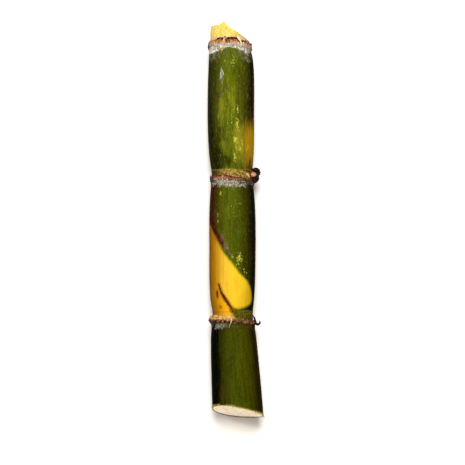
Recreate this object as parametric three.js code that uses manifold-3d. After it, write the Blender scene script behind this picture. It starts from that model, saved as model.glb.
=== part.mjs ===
// A cut length of sugar cane lying on its side: two whole internodes between three nodes, the cut end of
// a third internode at the base, and a snapped stub above the tip node.
// Millimetres, +Z up. The cane runs along +Y from base to tip and rests on Z = 0.
import * as THREE from "three";
import { mergeVertices } from "three/addons/utils/BufferGeometryUtils.js";
import Module from "manifold-3d";

// Places along the cane, from the middle of the base cut
const BASE_SCAR = 78;
const MIDDLE_SCAR = 198.2;
const TIP_SCAR = 315;
const STUB_FOOT = 316.4;
const WAX_BAND = 7; // from a leaf scar down to the end of its waxy belt

// Radii of the cane
const CUT_RADIUS = 21.35;
const BUTT_RADIUS = 19.1; // the cut internode, just before it narrows to the base node
const BUTT_FALL = 8; // length over which it narrows
// rootBand is the way from a leaf scar up to its growth ring, and tilt how far the scar leans to the left
const NODES = {
  base: { scar: BASE_SCAR, shoulder: 18.2, waist: 16.65, rootBand: 8, tilt: 0.9, budAngle: 222 },
  middle: { scar: MIDDLE_SCAR, shoulder: 17.95, waist: 17.05, rootBand: 7, tilt: 1.5, budAngle: 12 },
  tip: { scar: TIP_SCAR, shoulder: 17.85, waist: 16.4, rootBand: 8, tilt: 1, budAngle: 216 },
};
const LOWER_BELLY = 19.55;
const UPPER_BELLY = 19.75;
const RISE = 0.12; // share of an internode over which it swells above a node
const FALL = 0.12; // and over which it draws in below the next one
const OVALITY = 0.012; // the section is this much wider than round, and as much lower

// Small shapes of a node
const SCAR_STEP = 1.6; // length over which the cane narrows above a leaf scar
const GROWTH_RING = { height: 0.35, length: 0.9 };
const SCAR_DROP = { depth: 2.2, spread: 50, reach: 7 }; // the scar dips under its bud; spread in degrees
const BUD_FURROW = { depth: 0.7, spread: 15, start: 5, fade: 34 }; // over a bud, up its internode

// The line of the cane: how far its middle stands to the side, and above the table, at each station
const LINE = [
  { at: 0, side: 4.5, height: 20.8 },
  { at: 66, side: 0.9, height: 20.38 },
  { at: 96, side: -0.4, height: 20.18 },
  { at: 146, side: 0, height: 19.87 },
  { at: 192, side: -0.2, height: 19.57 },
  { at: 248, side: -1.5, height: 19.21 },
  { at: 298, side: -1.1, height: 19.2 },
  { at: 315, side: -2.3, height: 19.3 },
  { at: 330, side: -2.3, height: 19.4 },
];
const KINK_LENGTH = 5;

// The base cut slants: it leans to the side, is longer underneath and is a little twisted
const CUT_PLACE = 1.3;
const CUT_SIDE_SLOPE = -0.143;
const CUT_HEIGHT_SLOPE = 0.23;
const CUT_TWIST = -0.0025;
const CUT_BLEND = 26;

// The snapped end of the stub: outline of its height against the side, seen from above
const BREAK_OUTLINE = [
  { side: -30, height: 329 },
  { side: -9.2, height: 329 },
  { side: -4.8, height: 331.4 },
  { side: -1, height: 327.2 },
  { side: 30, height: 307.7 },
];
const BREAK_UNDERSIDE = 0.06; // how much longer the stub is underneath, per millimetre down
const BREAK_SPLINTER = 0.5;
const BREAK_LEAST = 0.4; // least height over the foot of the stub

// The sheath collars: where each starts and ends above its leaf scar, how much shorter it is away from
// its flared side, and how far it stands off
const COLLARS = {
  base: { from: -2, to: 3, slant: 2, thickness: 0.55, flare: 1.3 },
  middle: { from: -2.9, to: 1.2, slant: 0, thickness: 0.45, flare: 0.1 },
  tip: { from: -4.2, to: 0.8, slant: 0, thickness: 0.45, flare: 0.3 },
};
const FLARE_ANGLE = 168;
const FLARE_DROP = 0.6; // share of the flare that is lost from the lower edge to the upper
// The ragged edges: two rows of teeth round the cane, and how far each edge follows them
const RAGGED = { teeth: 5, smallTeeth: 11, smallShare: 0.6, low: 0.3, high: 0.2 };
const COLLAR_ROOT = 1.5; // the band starts this deep in the cane, which is then cut away from it
const UNDER_SCAR = 0.3; // the collar stands on the shoulder just below the scar

// The buds, pressed to the cane over their nodes
const BASE_BUD = { halfWidth: 4.6, halfLength: 4.6, height: 2.2 };
const TIP_BUD = { halfWidth: 4.2, halfLength: 3.4, height: 1.8 };
const MIDDLE_BUD = { halfWidth: 3, halfLength: 3.3, height: 3.4 };
const BUD_SEAT = 0.9; // from a collar to the foot of its bud
const BUD_TAPER = 0.28; // how much narrower a bud's tip is, and wider its foot
const MIDDLE_BUD_PLACE = { angle: 15, s: MIDDLE_SCAR + 3.7 };

// The dried hood of the middle bud: the wall between two egg shapes, cut open above
const HOOD_FOOT = { angle: 3, s: MIDDLE_SCAR + 2.8 };
const HOOD_OUTSIDE = { out: 7.4, along: 6.4, across: 5.6 };
const HOOD_WALL = 1.2;
const HOOD_OPENING = { side: 3, above: 3, lean: -20 };

// Loose fibres of the sheath: points as [angle, place along the cane, height over it]
const FIBRES = {
  sheath_fibre_base_node: {
    route: [[92, 83.6, 1], [92, 81.9, 2.9], [93, 79.8, 3.1], [95, 76.8, 1.8], [98, 74.2, 1.4], [100, 71, 1]],
    radius: 0.45,
  },
  sheath_fibre_tip_left: {
    route: [[104, 318.6, 1], [104.5, 316.1, 2.6], [106, 312, 2], [109, 308.6, 1.3], [113, 304.4, 1]],
    radius: 0.55,
  },
  sheath_fibre_tip_right: {
    route: [[72, 319.8, 1], [68, 317, 2.6], [66, 315.4, 2.6], [63, 313, 2], [62, 309.4, 1.2]],
    radius: 0.6,
  },
  sheath_splinter_base_node: {
    route: [[17, 83, 1.1], [15.5, 80.6, 2.1], [14, 78.2, 3], [12, 76, 2.1], [10, 75.4, 2.7], [9, 77.4, 4.2]],
    radius: 0.6,
  },
};

const GAP = 0.32; // between touching pieces
const COLLAR_GAP = 0.3; // between the middle collar and its bud's hood
const AROUND = 40; // sides of the cane
const SAME_POINT = 1e-3; // vertices this near are one
const TABLE = { width: 100, length: 800, depth: 20 }; // cuts the cane's underside flat where it touches
const ORIGIN = { side: 2.4, along: 164.6 }; // the middle of the cane's box, seen from above

const RADIANS = Math.PI / 180;
const wasm = await Module();
wasm.setup();

function bell(x, width) {
  return Math.exp(-((x / width) ** 2));
}

// Signed difference of two angles in degrees, from -180 to 180
function turn(angle, other) {
  return ((((angle - other) % 360) + 540) % 360) - 180;
}

// Value of a polyline through points with the given keys, carried on straight past its ends
function onPolyline(points, x, along, across) {
  let i = points.findIndex((point, k) => k > 0 && x < point[along]) - 1;
  if (i < 0) i = x < points[0][along] ? 0 : points.length - 2;
  const share = (x - points[i][along]) / (points[i + 1][along] - points[i][along]);
  return THREE.MathUtils.lerp(points[i][across], points[i + 1][across], share);
}

// The cane's line at a station, rounded a little at each kink
function alongLine(across, s) {
  const at = (x) => onPolyline(LINE, x, "at", across);
  return (at(s - KINK_LENGTH) + at(s) + at(s + KINK_LENGTH)) / 3;
}

// A whole internode: narrow above its lower node, full in the middle, drawn in below the next node
function barrel(s, lower, upper, belly) {
  const start = lower.scar + lower.rootBand;
  const end = upper.scar - WAX_BAND;
  const share = THREE.MathUtils.clamp((s - start) / (end - start), 0, 1);
  return (
    belly -
    (belly - lower.waist) * Math.exp(-share / RISE) -
    (belly - upper.shoulder) * Math.exp(-(1 - share) / FALL)
  );
}

// The cut internode, which widens towards the base
function butt(s) {
  const end = BASE_SCAR - WAX_BAND;
  const share = THREE.MathUtils.clamp(s / end, 0, 1);
  const cone = THREE.MathUtils.lerp(CUT_RADIUS, BUTT_RADIUS, share);
  return cone - (BUTT_RADIUS - NODES.base.shoulder) * Math.exp(-(end * (1 - share)) / BUTT_FALL);
}

// Radius without the node's own small shapes
function bodyRadius(s) {
  if (s < BASE_SCAR) return butt(s);
  if (s < MIDDLE_SCAR) return barrel(s, NODES.base, NODES.middle, LOWER_BELLY);
  if (s < TIP_SCAR) return barrel(s, NODES.middle, NODES.tip, UPPER_BELLY);
  return NODES.tip.waist;
}

// How far the leaf scar of a node has dipped at an angle
function scarDrop(node, angle) {
  const underBud = SCAR_DROP.depth * bell(turn(angle, node.budAngle), SCAR_DROP.spread);
  return underBud + node.tilt * Math.cos(angle * RADIANS);
}

// Radius of the cane at an angle in degrees, with 0 at +X and 90 at the top
function caneRadius(angle, s) {
  let radius = bodyRadius(s);
  for (const node of Object.values(NODES)) {
    const near = s - node.scar;
    const place = near + scarDrop(node, angle) * bell(near, SCAR_DROP.reach);
    if (place > -WAX_BAND && place < SCAR_STEP) {
      const step = THREE.MathUtils.smoothstep(place, 0, SCAR_STEP);
      radius = THREE.MathUtils.lerp(node.shoulder, node.waist, step);
    } else if (place >= SCAR_STEP && place < node.rootBand) {
      radius = node.waist;
    }
    const overRing = near - node.rootBand;
    if (s < STUB_FOOT) radius += GROWTH_RING.height * bell(overRing, GROWTH_RING.length);
    if (overRing > 0 && s < TIP_SCAR) {
      const fade = Math.exp(-overRing / BUD_FURROW.fade) * (1 - bell(overRing, BUD_FURROW.start));
      radius -= BUD_FURROW.depth * bell(turn(angle, node.budAngle), BUD_FURROW.spread) * fade;
    }
  }
  return radius * (1 + OVALITY * Math.cos(2 * angle * RADIANS));
}

// A point at a distance from the cane's line
function roundLine(angle, s, radius) {
  return new THREE.Vector3(
    alongLine("side", s) + radius * Math.cos(angle * RADIANS),
    s,
    alongLine("height", s) + radius * Math.sin(angle * RADIANS),
  );
}

// A point at a distance outside the cane's surface
function onCane(angle, s, offset) {
  return roundLine(angle, s, caneRadius(angle, s) + offset);
}

// Height of the snapped face over a place of the stub, measured from the stub's middle
function breakHeight(x, z) {
  const outline = onPolyline(BREAK_OUTLINE, x, "side", "height");
  const top = NODES.tip.waist;
  const splinter = BREAK_SPLINTER * Math.sin(1.9 * x + 0.6) * Math.cos(1.3 * z);
  return Math.max(outline + BREAK_UNDERSIDE * (top - z) + splinter, STUB_FOOT + BREAK_LEAST);
}

// Moves every vertex of a geometry to where place(vertex) says, and merges the vertices
function reshape(geometry, place) {
  const flat = geometry.index ? geometry.toNonIndexed() : geometry;
  const positions = flat.getAttribute("position");
  const vertex = new THREE.Vector3();
  for (let i = 0; i < positions.count; i++) {
    const moved = place(vertex.fromBufferAttribute(positions, i));
    positions.setXYZ(i, moved.x, moved.y, moved.z);
  }
  const bare = new THREE.BufferGeometry().setAttribute("position", positions);
  return mergeVertices(bare, SAME_POINT);
}

// The same geometry with its vertices merged, as a solid needs it
function merged(geometry) {
  return reshape(geometry, (vertex) => vertex.clone());
}

function toSolid(geometry) {
  return new wasm.Manifold(
    new wasm.Mesh({
      numProp: 3,
      vertProperties: geometry.getAttribute("position").array,
      triVerts: new Uint32Array(geometry.index.array),
    }),
  );
}

function toGeometry(solid) {
  const mesh = solid.getMesh();
  const corners = [];
  for (const vertex of mesh.triVerts) {
    const first = vertex * mesh.numProp;
    corners.push(...mesh.vertProperties.subarray(first, first + 3));
  }
  return new THREE.BufferGeometry().setAttribute("position", new THREE.Float32BufferAttribute(corners, 3));
}

const angleOf = (vertex) => Math.atan2(vertex.z, vertex.x) / RADIANS;

// Rows along the cane: close together at the nodes and further apart between them
function rowPlaces() {
  const atNode = [-11, -7, -5, -3.4, -2.2, -1.2, -0.4, 0.4, 1.1, 1.8, 3.5, 5, 6.2, 7, 7.8, 10, 15, 21];
  const between = [30, 42, 58, 76, 92];
  const rows = [0, 9, 19, 32, 46, 58];
  for (const scar of [BASE_SCAR, MIDDLE_SCAR]) {
    for (const place of [...atNode, ...between]) rows.push(scar + place);
  }
  for (const place of atNode.filter((place) => TIP_SCAR + place < STUB_FOOT)) rows.push(TIP_SCAR + place);
  return [...rows, STUB_FOOT].sort((a, b) => a - b);
}

// The cane itself, in one piece. grow makes it that much thicker, for cutting clearance.
function caneGeometry(grow = 0) {
  const cutFace = [0, 0.5];
  const stubSide = [0.15, 0.5, 1];
  const breakFace = [0.75, 0.5, 0.25, 0];
  const profile = [
    ...cutFace.map((fill) => new THREE.Vector2(fill, 0)),
    ...rowPlaces().map((s) => new THREE.Vector2(1, s)),
    ...stubSide.map((share) => new THREE.Vector2(1, STUB_FOOT + share)),
    ...breakFace.map((fill) => new THREE.Vector2(fill, STUB_FOOT + 1)),
  ];
  return reshape(new THREE.LatheGeometry(profile, AROUND), (vertex) => {
    const fill = Math.hypot(vertex.x, vertex.z);
    const angle = angleOf(vertex);
    const s = vertex.y;
    const radius = fill * (caneRadius(angle, s) + grow);
    const x = radius * Math.cos(angle * RADIANS);
    const z = radius * Math.sin(angle * RADIANS);
    const cut = CUT_PLACE + CUT_SIDE_SLOPE * x + CUT_HEIGHT_SLOPE * z + CUT_TWIST * x * z;
    let along = s + THREE.MathUtils.clamp(1 - s / CUT_BLEND, 0, 1) ** 2 * cut;
    if (s > STUB_FOOT) along = THREE.MathUtils.lerp(STUB_FOOT, breakHeight(x, z), s - STUB_FOOT);
    return new THREE.Vector3(alongLine("side", s) + x, along, alongLine("height", s) + z);
  });
}

// The cane with the two slightly flattened places that it lies on
function restingCane() {
  const { width, length, depth } = TABLE;
  const table = new THREE.BoxGeometry(width, length, depth).translate(0, 0, -depth / 2);
  return toSolid(caneGeometry()).subtract(toSolid(merged(table)));
}

// Where the upper edge of a collar stands at an angle, without its teeth
function collarTop(node, { to, slant }, angle) {
  const away = 0.5 - 0.5 * Math.cos((angle - FLARE_ANGLE) * RADIANS);
  return node.scar - scarDrop(node, angle) + to - slant * away;
}

// The dry foot of the leaf sheath, a ragged collar round a leaf scar. grow thickens it on all sides.
function sheathCollar(node, collar, grow = 0) {
  const inside = 1;
  const outside = 2;
  const profile = [
    new THREE.Vector2(inside, 0),
    ...[0, 0.35, 0.7, 1].map((v) => new THREE.Vector2(outside, v)),
    new THREE.Vector2(inside, 1),
    new THREE.Vector2(inside, 0),
  ];
  const band = reshape(new THREE.LatheGeometry(profile, AROUND), (vertex) => {
    const angle = angleOf(vertex);
    const scar = node.scar - scarDrop(node, angle);
    const smallTeeth = RAGGED.smallShare * Math.sin(RAGGED.smallTeeth * angle * RADIANS);
    const ragged = Math.sin(RAGGED.teeth * angle * RADIANS + node.scar) + smallTeeth;
    const low = scar + collar.from + RAGGED.low * ragged - grow;
    const high = collarTop(node, collar, angle) - RAGGED.high * ragged + grow;
    const s = THREE.MathUtils.lerp(low, high, vertex.y);
    if (Math.hypot(vertex.x, vertex.z) < (inside + outside) / 2) return onCane(angle, s, -COLLAR_ROOT);
    const facing = Math.max(0, Math.cos((angle - FLARE_ANGLE) * RADIANS));
    const lean = collar.flare * facing ** 2 * (1 - FLARE_DROP * vertex.y);
    const full = collar.thickness * (0.5 + 0.5 * Math.sin(Math.PI * vertex.y)) + lean;
    return roundLine(angle, s, caneRadius(angle, Math.min(s, scar - UNDER_SCAR)) + GAP + full + grow);
  });
  return toSolid(band).subtract(toSolid(caneGeometry(GAP - grow)));
}

// A bud pressed to the cane: a domed pad, rounder at its foot and narrower at its tip
function budPad({ angle, s }, { halfWidth, halfLength, height }, grow = 0) {
  return reshape(new THREE.SphereGeometry(1, 14, 10), (vertex) => {
    const taper = 1 - BUD_TAPER * vertex.y;
    const across = (-vertex.x * (halfWidth + grow) * taper) / (NODES.middle.waist * RADIANS);
    const out = Math.max(vertex.z, 0) * (height + grow);
    return onCane(angle + across, s + vertex.y * (halfLength + grow), GAP - grow + out);
  });
}

// Where a bud's middle is, when its foot stands just over the collar of its node
function budPlace(node, collar, { halfLength }) {
  return { angle: node.budAngle, s: collarTop(node, collar, node.budAngle) + BUD_SEAT + halfLength };
}

// The dried outer scale of the middle bud: half a cup, open towards the top
function budHood(bud, collar) {
  const foot = onCane(HOOD_FOOT.angle, HOOD_FOOT.s, 0);
  const egg = (inset) => {
    const { out, along, across } = HOOD_OUTSIDE;
    const ball = new THREE.SphereGeometry(1, 18, 12).scale(out - inset, along - inset, across - inset);
    return toSolid(merged(ball.translate(foot.x, foot.y, foot.z)));
  };
  const block = 8 * HOOD_OUTSIDE.out;
  const opening = new THREE.BoxGeometry(block, block, block)
    .translate(0, 0, block / 2)
    .rotateY(HOOD_OPENING.lean * RADIANS)
    .translate(foot.x + HOOD_OPENING.side, foot.y, foot.z + HOOD_OPENING.above);
  const solid = egg(0)
    .subtract(egg(HOOD_WALL))
    .subtract(toSolid(merged(opening)))
    .subtract(toSolid(caneGeometry(GAP)))
    .subtract(bud)
    .subtract(collar);
  const largest = solid.decompose().sort((a, b) => b.volume() - a.volume())[0];
  return toGeometry(largest);
}

// A thin round fibre along a smooth curve through the points of its route
function fibre(route, radius) {
  const path = new THREE.CatmullRomCurve3(route.map(([angle, s, over]) => onCane(angle, s, over)));
  const section = new THREE.Shape();
  section.absarc(0, 0, radius, 0, 2 * Math.PI);
  const settings = { extrudePath: path, steps: 12, curveSegments: 3, bevelEnabled: false };
  return new THREE.ExtrudeGeometry(section, settings);
}

// Surfaces: colour, roughness and metalness of each kind of tissue
const finish = (color, roughness) => new THREE.MeshStandardMaterial({ color, roughness, metalness: 0 });
const RIND = finish(0x525a0c, 0.42);
const DRY_SHEATH = finish(0x8a5a3a, 0.9);
const DARK_SCALE = finish(0x1d120c, 0.85);
const FRESH_BUD = finish(0xc98a5c, 0.6);
const DRY_BUD = finish(0x6b4a2c, 0.8);
const PALE_FIBRE = finish(0xdcb981, 0.8);

const stalk = new THREE.Group();

function addPiece(name, geometry, material) {
  const mesh = new THREE.Mesh(geometry, material);
  mesh.name = name;
  stalk.add(mesh);
}

addPiece("cane", toGeometry(restingCane()), RIND);

for (const [name, collar] of Object.entries(COLLARS)) {
  addPiece(`sheath_collar_${name}_node`, toGeometry(sheathCollar(NODES[name], collar)), DRY_SHEATH);
}

addPiece("bud_base_node", budPad(budPlace(NODES.base, COLLARS.base, BASE_BUD), BASE_BUD), DRY_BUD);
addPiece("bud_tip_node", budPad(budPlace(NODES.tip, COLLARS.tip, TIP_BUD), TIP_BUD), DRY_BUD);
addPiece("bud_middle_node", budPad(MIDDLE_BUD_PLACE, MIDDLE_BUD), FRESH_BUD);

const spacedBud = toSolid(budPad(MIDDLE_BUD_PLACE, MIDDLE_BUD, GAP));
const spacedCollar = sheathCollar(NODES.middle, COLLARS.middle, COLLAR_GAP);
addPiece("bud_scale_middle_node", budHood(spacedBud, spacedCollar), DARK_SCALE);

for (const [name, { route, radius }] of Object.entries(FIBRES)) {
  addPiece(name, fibre(route, radius), name.includes("splinter") ? DARK_SCALE : PALE_FIBRE);
}

stalk.position.set(-ORIGIN.side, -ORIGIN.along, 0);

export default stalk;
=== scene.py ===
"""A cut length of sugar cane on a pale studio floor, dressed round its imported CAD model."""

import logging
import math
from dataclasses import dataclass, field
from enum import Enum
from typing import Any, Sequence

import bpy
import numpy as np
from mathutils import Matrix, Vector


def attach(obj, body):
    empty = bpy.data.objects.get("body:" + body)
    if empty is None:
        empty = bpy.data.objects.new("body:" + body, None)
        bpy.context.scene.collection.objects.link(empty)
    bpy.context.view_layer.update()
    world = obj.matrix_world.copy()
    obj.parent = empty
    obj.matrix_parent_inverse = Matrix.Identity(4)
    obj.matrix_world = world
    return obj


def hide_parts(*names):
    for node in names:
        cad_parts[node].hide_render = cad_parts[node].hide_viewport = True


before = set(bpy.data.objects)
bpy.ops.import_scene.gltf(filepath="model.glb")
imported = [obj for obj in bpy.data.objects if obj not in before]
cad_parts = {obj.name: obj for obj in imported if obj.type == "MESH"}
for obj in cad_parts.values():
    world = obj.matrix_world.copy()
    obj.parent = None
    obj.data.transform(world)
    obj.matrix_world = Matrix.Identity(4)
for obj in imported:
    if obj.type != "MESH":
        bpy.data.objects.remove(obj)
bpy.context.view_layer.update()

LOG = logging.getLogger("sugar_cane")
MM = 0.001
BODY = "root"
# The middle of the cane's box on the table: to the side of the cane's line, and along from its cut
ORIGIN_SIDE = 2.4
ORIGIN_ALONG = 164.6
# Colours are written as they look in the studio's light, this many times as bright as their surface is
STUDIO_LIGHT = 2.0
# The cane's top in degrees from +X, and the radius at which its skin is laid out flat
TOP = 90.0
SKIN_RADIUS = 19.0
# Its middle radius, and a length that takes in all of it, for noise that runs unbroken along it
MEAN_RADIUS = 18.5
UNBROKEN = 400.0
# How far along the cane its line is followed, near the snapped end of its stub
LINE_END = 330.0

Array = np.ndarray


def linear(hex_colour: str, light: float = STUDIO_LIGHT) -> tuple[float, float, float, float]:
    """Turns an sRGB hex colour into the linear colour of the surface itself.

    Args:
        hex_colour: Six hex digits, as seen in the studio's light.
        light: How strong that light is; 1 keeps the colour as it is.

    Returns:
        Linear red, green, blue and alpha.
    """
    parts = [int(hex_colour[i : i + 2], 16) / 255 for i in (0, 2, 4)]
    flat = [c / 12.92 if c <= 0.04045 else ((c + 0.055) / 1.055) ** 2.4 for c in parts]
    return (flat[0] / light, flat[1] / light, flat[2] / light, 1.0)


def bell(x: Array | float, width: float) -> Array:
    """A bump of height 1 at 0 that falls away over a width.

    Args:
        x: Distance from the middle of the bump.
        width: Distance at which it has fallen to about a third.

    Returns:
        The bump's height, from 0 to 1.
    """
    return np.exp(-np.square(np.asarray(x, float) / width))


def ease(x: Array | float, low: float, high: float) -> Array:
    """A smooth rise from 0 to 1.

    Args:
        x: The value.
        low: Where the rise starts.
        high: Where it ends; below low for a fall.

    Returns:
        The share from 0 to 1.
    """
    share = np.clip((np.asarray(x, float) - low) / (high - low), 0.0, 1.0)
    return share * share * (3.0 - 2.0 * share)


def turn(angle: Array | float, other: float) -> Array:
    """Signed difference of two angles.

    Args:
        angle: Angles in degrees.
        other: The angle they are measured from.

    Returns:
        Degrees from -180 to 180.
    """
    return np.mod(np.asarray(angle, float) - other + 180.0, 360.0) - 180.0


class Edge(Enum):
    """How noise runs between its random values."""

    SMOOTH = "smooth"
    SHARP = "sharp"


@dataclass(frozen=True)
class Unevenness:
    """Seeded noise over the cane's skin, without a seam round it.

    around and along are the real sizes of its lumps in millimetres.
    """

    seed: int
    around: float
    along: float
    edge: Edge = Edge.SMOOTH
    before_cut: float = 20.0

    def at(self, angle: Array, s: Array) -> Array:
        """The noise at places on the skin.

        Args:
            angle: Degrees round the cane.
            s: Millimetres along it.

        Returns:
            Values from -1 to 1.
        """
        angle, s = np.broadcast_arrays(np.asarray(angle, float), np.asarray(s, float))
        columns = max(3, round(2 * math.pi * MEAN_RADIUS / self.around))
        rows = int(UNBROKEN / self.along) + 4
        lattice = np.random.default_rng(self.seed).uniform(-1, 1, (rows, columns))
        u = np.mod(angle / 360.0, 1.0) * columns
        v = (s + self.before_cut) / self.along
        i, j = np.floor(u).astype(int), np.floor(v).astype(int)
        fu, fv = u - i, v - j
        if self.edge is Edge.SMOOTH:
            fu, fv = fu * fu * (3 - 2 * fu), fv * fv * (3 - 2 * fv)
        i0, i1 = i % columns, (i + 1) % columns
        j0, j1 = j % rows, (j + 1) % rows
        low = lattice[j0, i0] * (1 - fu) + lattice[j0, i1] * fu
        high = lattice[j1, i0] * (1 - fu) + lattice[j1, i1] * fu
        return low * (1 - fv) + high * fv


@dataclass(frozen=True)
class NodeShape:
    """One node of the cane, in millimetres and degrees, as the CAD source has it."""

    scar: float
    shoulder: float
    waist: float
    root_band: float
    tilt: float
    bud_angle: float

    def drop(self, angle: Array) -> Array:
        """How far the leaf scar has dipped.

        Args:
            angle: Degrees round the cane.

        Returns:
            Millimetres towards the base.
        """
        under_bud = 2.2 * bell(turn(angle, self.bud_angle), 50)
        return under_bud + self.tilt * np.cos(np.radians(angle))


BASE_NODE = NodeShape(scar=78.0, shoulder=18.2, waist=16.65, root_band=8.0, tilt=0.9, bud_angle=222.0)
MIDDLE_NODE = NodeShape(scar=198.2, shoulder=17.95, waist=17.05, root_band=7.0, tilt=1.5, bud_angle=12.0)
TIP_NODE = NodeShape(scar=315.0, shoulder=17.85, waist=16.4, root_band=8.0, tilt=1.0, bud_angle=216.0)


@dataclass(frozen=True)
class CaneForm:
    """The cane's outer form, in millimetres, as the CAD source has it. Angle 0 is +X and 90 the top."""

    nodes: tuple[NodeShape, ...] = (BASE_NODE, MIDDLE_NODE, TIP_NODE)
    stub_foot: float = 316.4
    wax_band: float = 7.0
    cut_radius: float = 21.35
    butt_radius: float = 19.1
    butt_fall: float = 8.0
    lower_belly: float = 19.55
    upper_belly: float = 19.75
    draw_in: float = 0.12
    ovality: float = 0.012
    scar_step: float = 1.6
    ring_height: float = 0.35
    ring_width: float = 0.9
    furrow_depth: float = 0.7
    furrow_width: float = 15.0
    furrow_length: float = 34.0
    # Where the slanting cut lies over the cane's line: level, side, height and twist, then its reach
    cut_slope: tuple[float, float, float, float] = (1.3, -0.143, 0.23, -0.0025)
    cut_reach: float = 26.0
    break_lean: float = 0.06
    splinter_height: float = 0.5
    # Place along, side and height of the cane's line
    line_points: tuple[tuple[float, float, float], ...] = (
        (0, 4.5, 20.8), (66, 0.9, 20.38), (96, -0.4, 20.18), (146, 0, 19.87), (192, -0.2, 19.57),
        (248, -1.5, 19.21), (298, -1.1, 19.2), (315, -2.3, 19.3), (330, -2.3, 19.4),
    )
    # Side and height of the snapped end's outline
    break_outline: tuple[tuple[float, float], ...] = (
        (-30, 329), (-9.2, 329), (-4.8, 331.4), (-1, 327.2), (30, 307.7),
    )

    def line(self, s: Array) -> tuple[Array, Array]:
        """Side and height of the cane's middle.

        Args:
            s: Millimetres along the cane.

        Returns:
            Side and height in millimetres.
        """
        table = np.array(self.line_points, float)
        s = np.asarray(s, float)

        def at(x: Array, column: int) -> Array:
            """The line's own polyline, carried on past its ends."""
            i = np.clip(np.searchsorted(table[:, 0], x, side="right") - 1, 0, len(table) - 2)
            share = (x - table[i, 0]) / (table[i + 1, 0] - table[i, 0])
            return table[i, column] + share * (table[i + 1, column] - table[i, column])

        return tuple((at(s - 5, c) + at(s, c) + at(s + 5, c)) / 3 for c in (1, 2))

    def body(self, s: Array) -> Array:
        """Radius without the nodes' small shapes.

        Args:
            s: Millimetres along the cane.

        Returns:
            Millimetres.
        """
        base, middle, tip = self.nodes
        end = base.scar - self.wax_band
        share = np.clip(s / end, 0, 1)
        cone = self.cut_radius + (self.butt_radius - self.cut_radius) * share
        butt = cone - (self.butt_radius - base.shoulder) * np.exp(-end * (1 - share) / self.butt_fall)

        def barrel(lower: NodeShape, upper: NodeShape, belly: float) -> Array:
            """A whole internode, drawn in at both ends."""
            start, stop = lower.scar + lower.root_band, upper.scar - self.wax_band
            t = np.clip((s - start) / (stop - start), 0, 1)
            rise = (belly - lower.waist) * np.exp(-t / self.draw_in)
            fall = (belly - upper.shoulder) * np.exp(-(1 - t) / self.draw_in)
            return belly - rise - fall

        low = barrel(base, middle, self.lower_belly)
        high = barrel(middle, tip, self.upper_belly)
        whole = np.where(s < middle.scar, low, np.where(s < tip.scar, high, tip.waist))
        return np.where(s < base.scar, butt, whole)

    def radius(self, angle: Array, s: Array) -> Array:
        """Radius of the skin.

        Args:
            angle: Degrees round the cane.
            s: Millimetres along it.

        Returns:
            Millimetres.
        """
        angle, s = np.broadcast_arrays(np.asarray(angle, float), np.asarray(s, float))
        r = self.body(s)
        for node in self.nodes:
            near = s - node.scar
            place = near + node.drop(angle) * bell(near, 7)
            step = node.shoulder + (node.waist - node.shoulder) * ease(place, 0, self.scar_step)
            r = np.where((place > -self.wax_band) & (place < self.scar_step), step, r)
            r = np.where((place >= self.scar_step) & (place < node.root_band), node.waist, r)
            over_ring = near - node.root_band
            r = r + np.where(s < self.stub_foot, self.ring_height * bell(over_ring, self.ring_width), 0)
            fade = np.exp(-np.maximum(over_ring, 0) / self.furrow_length) * (1 - bell(over_ring, 5))
            furrow = self.furrow_depth * bell(turn(angle, node.bud_angle), self.furrow_width) * fade
            r = r - np.where((over_ring > 0) & (s < self.nodes[2].scar), furrow, 0)
        return r * (1 + self.ovality * np.cos(2 * np.radians(angle)))

    def round_line(self, angle: Array, s: Array, radius: Array) -> Array:
        """Points at a radius from the cane's line.

        Args:
            angle: Degrees round the cane.
            s: Millimetres along it.
            radius: Millimetres from its line.

        Returns:
            Points of the row frame in millimetres, in the last axis.
        """
        angle, s, radius = np.broadcast_arrays(*(np.asarray(a, float) for a in (angle, s, radius)))
        side, height = self.line(s)
        turned = np.radians(angle)
        x = side + radius * np.cos(turned) - ORIGIN_SIDE
        return np.stack([x, s - ORIGIN_ALONG, height + radius * np.sin(turned)], -1)

    def on_skin(self, angle: Array, s: Array, over: Array | float = 0.0) -> Array:
        """Points over the skin.

        Args:
            angle: Degrees round the cane.
            s: Millimetres along it.
            over: Millimetres over the skin.

        Returns:
            Points of the row frame in millimetres.
        """
        return self.round_line(angle, s, self.radius(angle, s) + over)

    def laid_flat(self, angle: Array, s: Array) -> Array:
        """The skin straightened out, for patterns that run along the cane.

        Args:
            angle: Degrees round the cane.
            s: Millimetres along it.

        Returns:
            Millimetres: side, along and height.
        """
        turned = np.radians(angle)
        return np.stack([SKIN_RADIUS * np.cos(turned), s, SKIN_RADIUS * np.sin(turned)], -1)

    def cut_shift(self, x: Array, z: Array, s: Array) -> Array:
        """How far the slanting base cut moves a point along the cane.

        Args:
            x: Sideways from the line.
            z: Upwards from the line.
            s: Millimetres along the cane before the cut.

        Returns:
            Millimetres.
        """
        level, side, height, twist = self.cut_slope
        cut = level + side * x + height * z + twist * x * z
        return np.clip(1 - s / self.cut_reach, 0, 1) ** 2 * cut

    def break_height(self, x: Array, z: Array) -> Array:
        """How far along the cane the snapped face lies.

        Args:
            x: Sideways from the line.
            z: Upwards from the line.

        Returns:
            Millimetres along the cane.
        """
        table = np.array(self.break_outline, float)
        outline = np.interp(x, table[:, 0], table[:, 1])
        splinter = self.splinter_height * np.sin(1.9 * x + 0.6) * np.cos(1.3 * z)
        lean = self.break_lean * (TIP_NODE.waist - z)
        return np.maximum(outline + lean + splinter, self.stub_foot + 0.4)


FORM = CaneForm()


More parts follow.
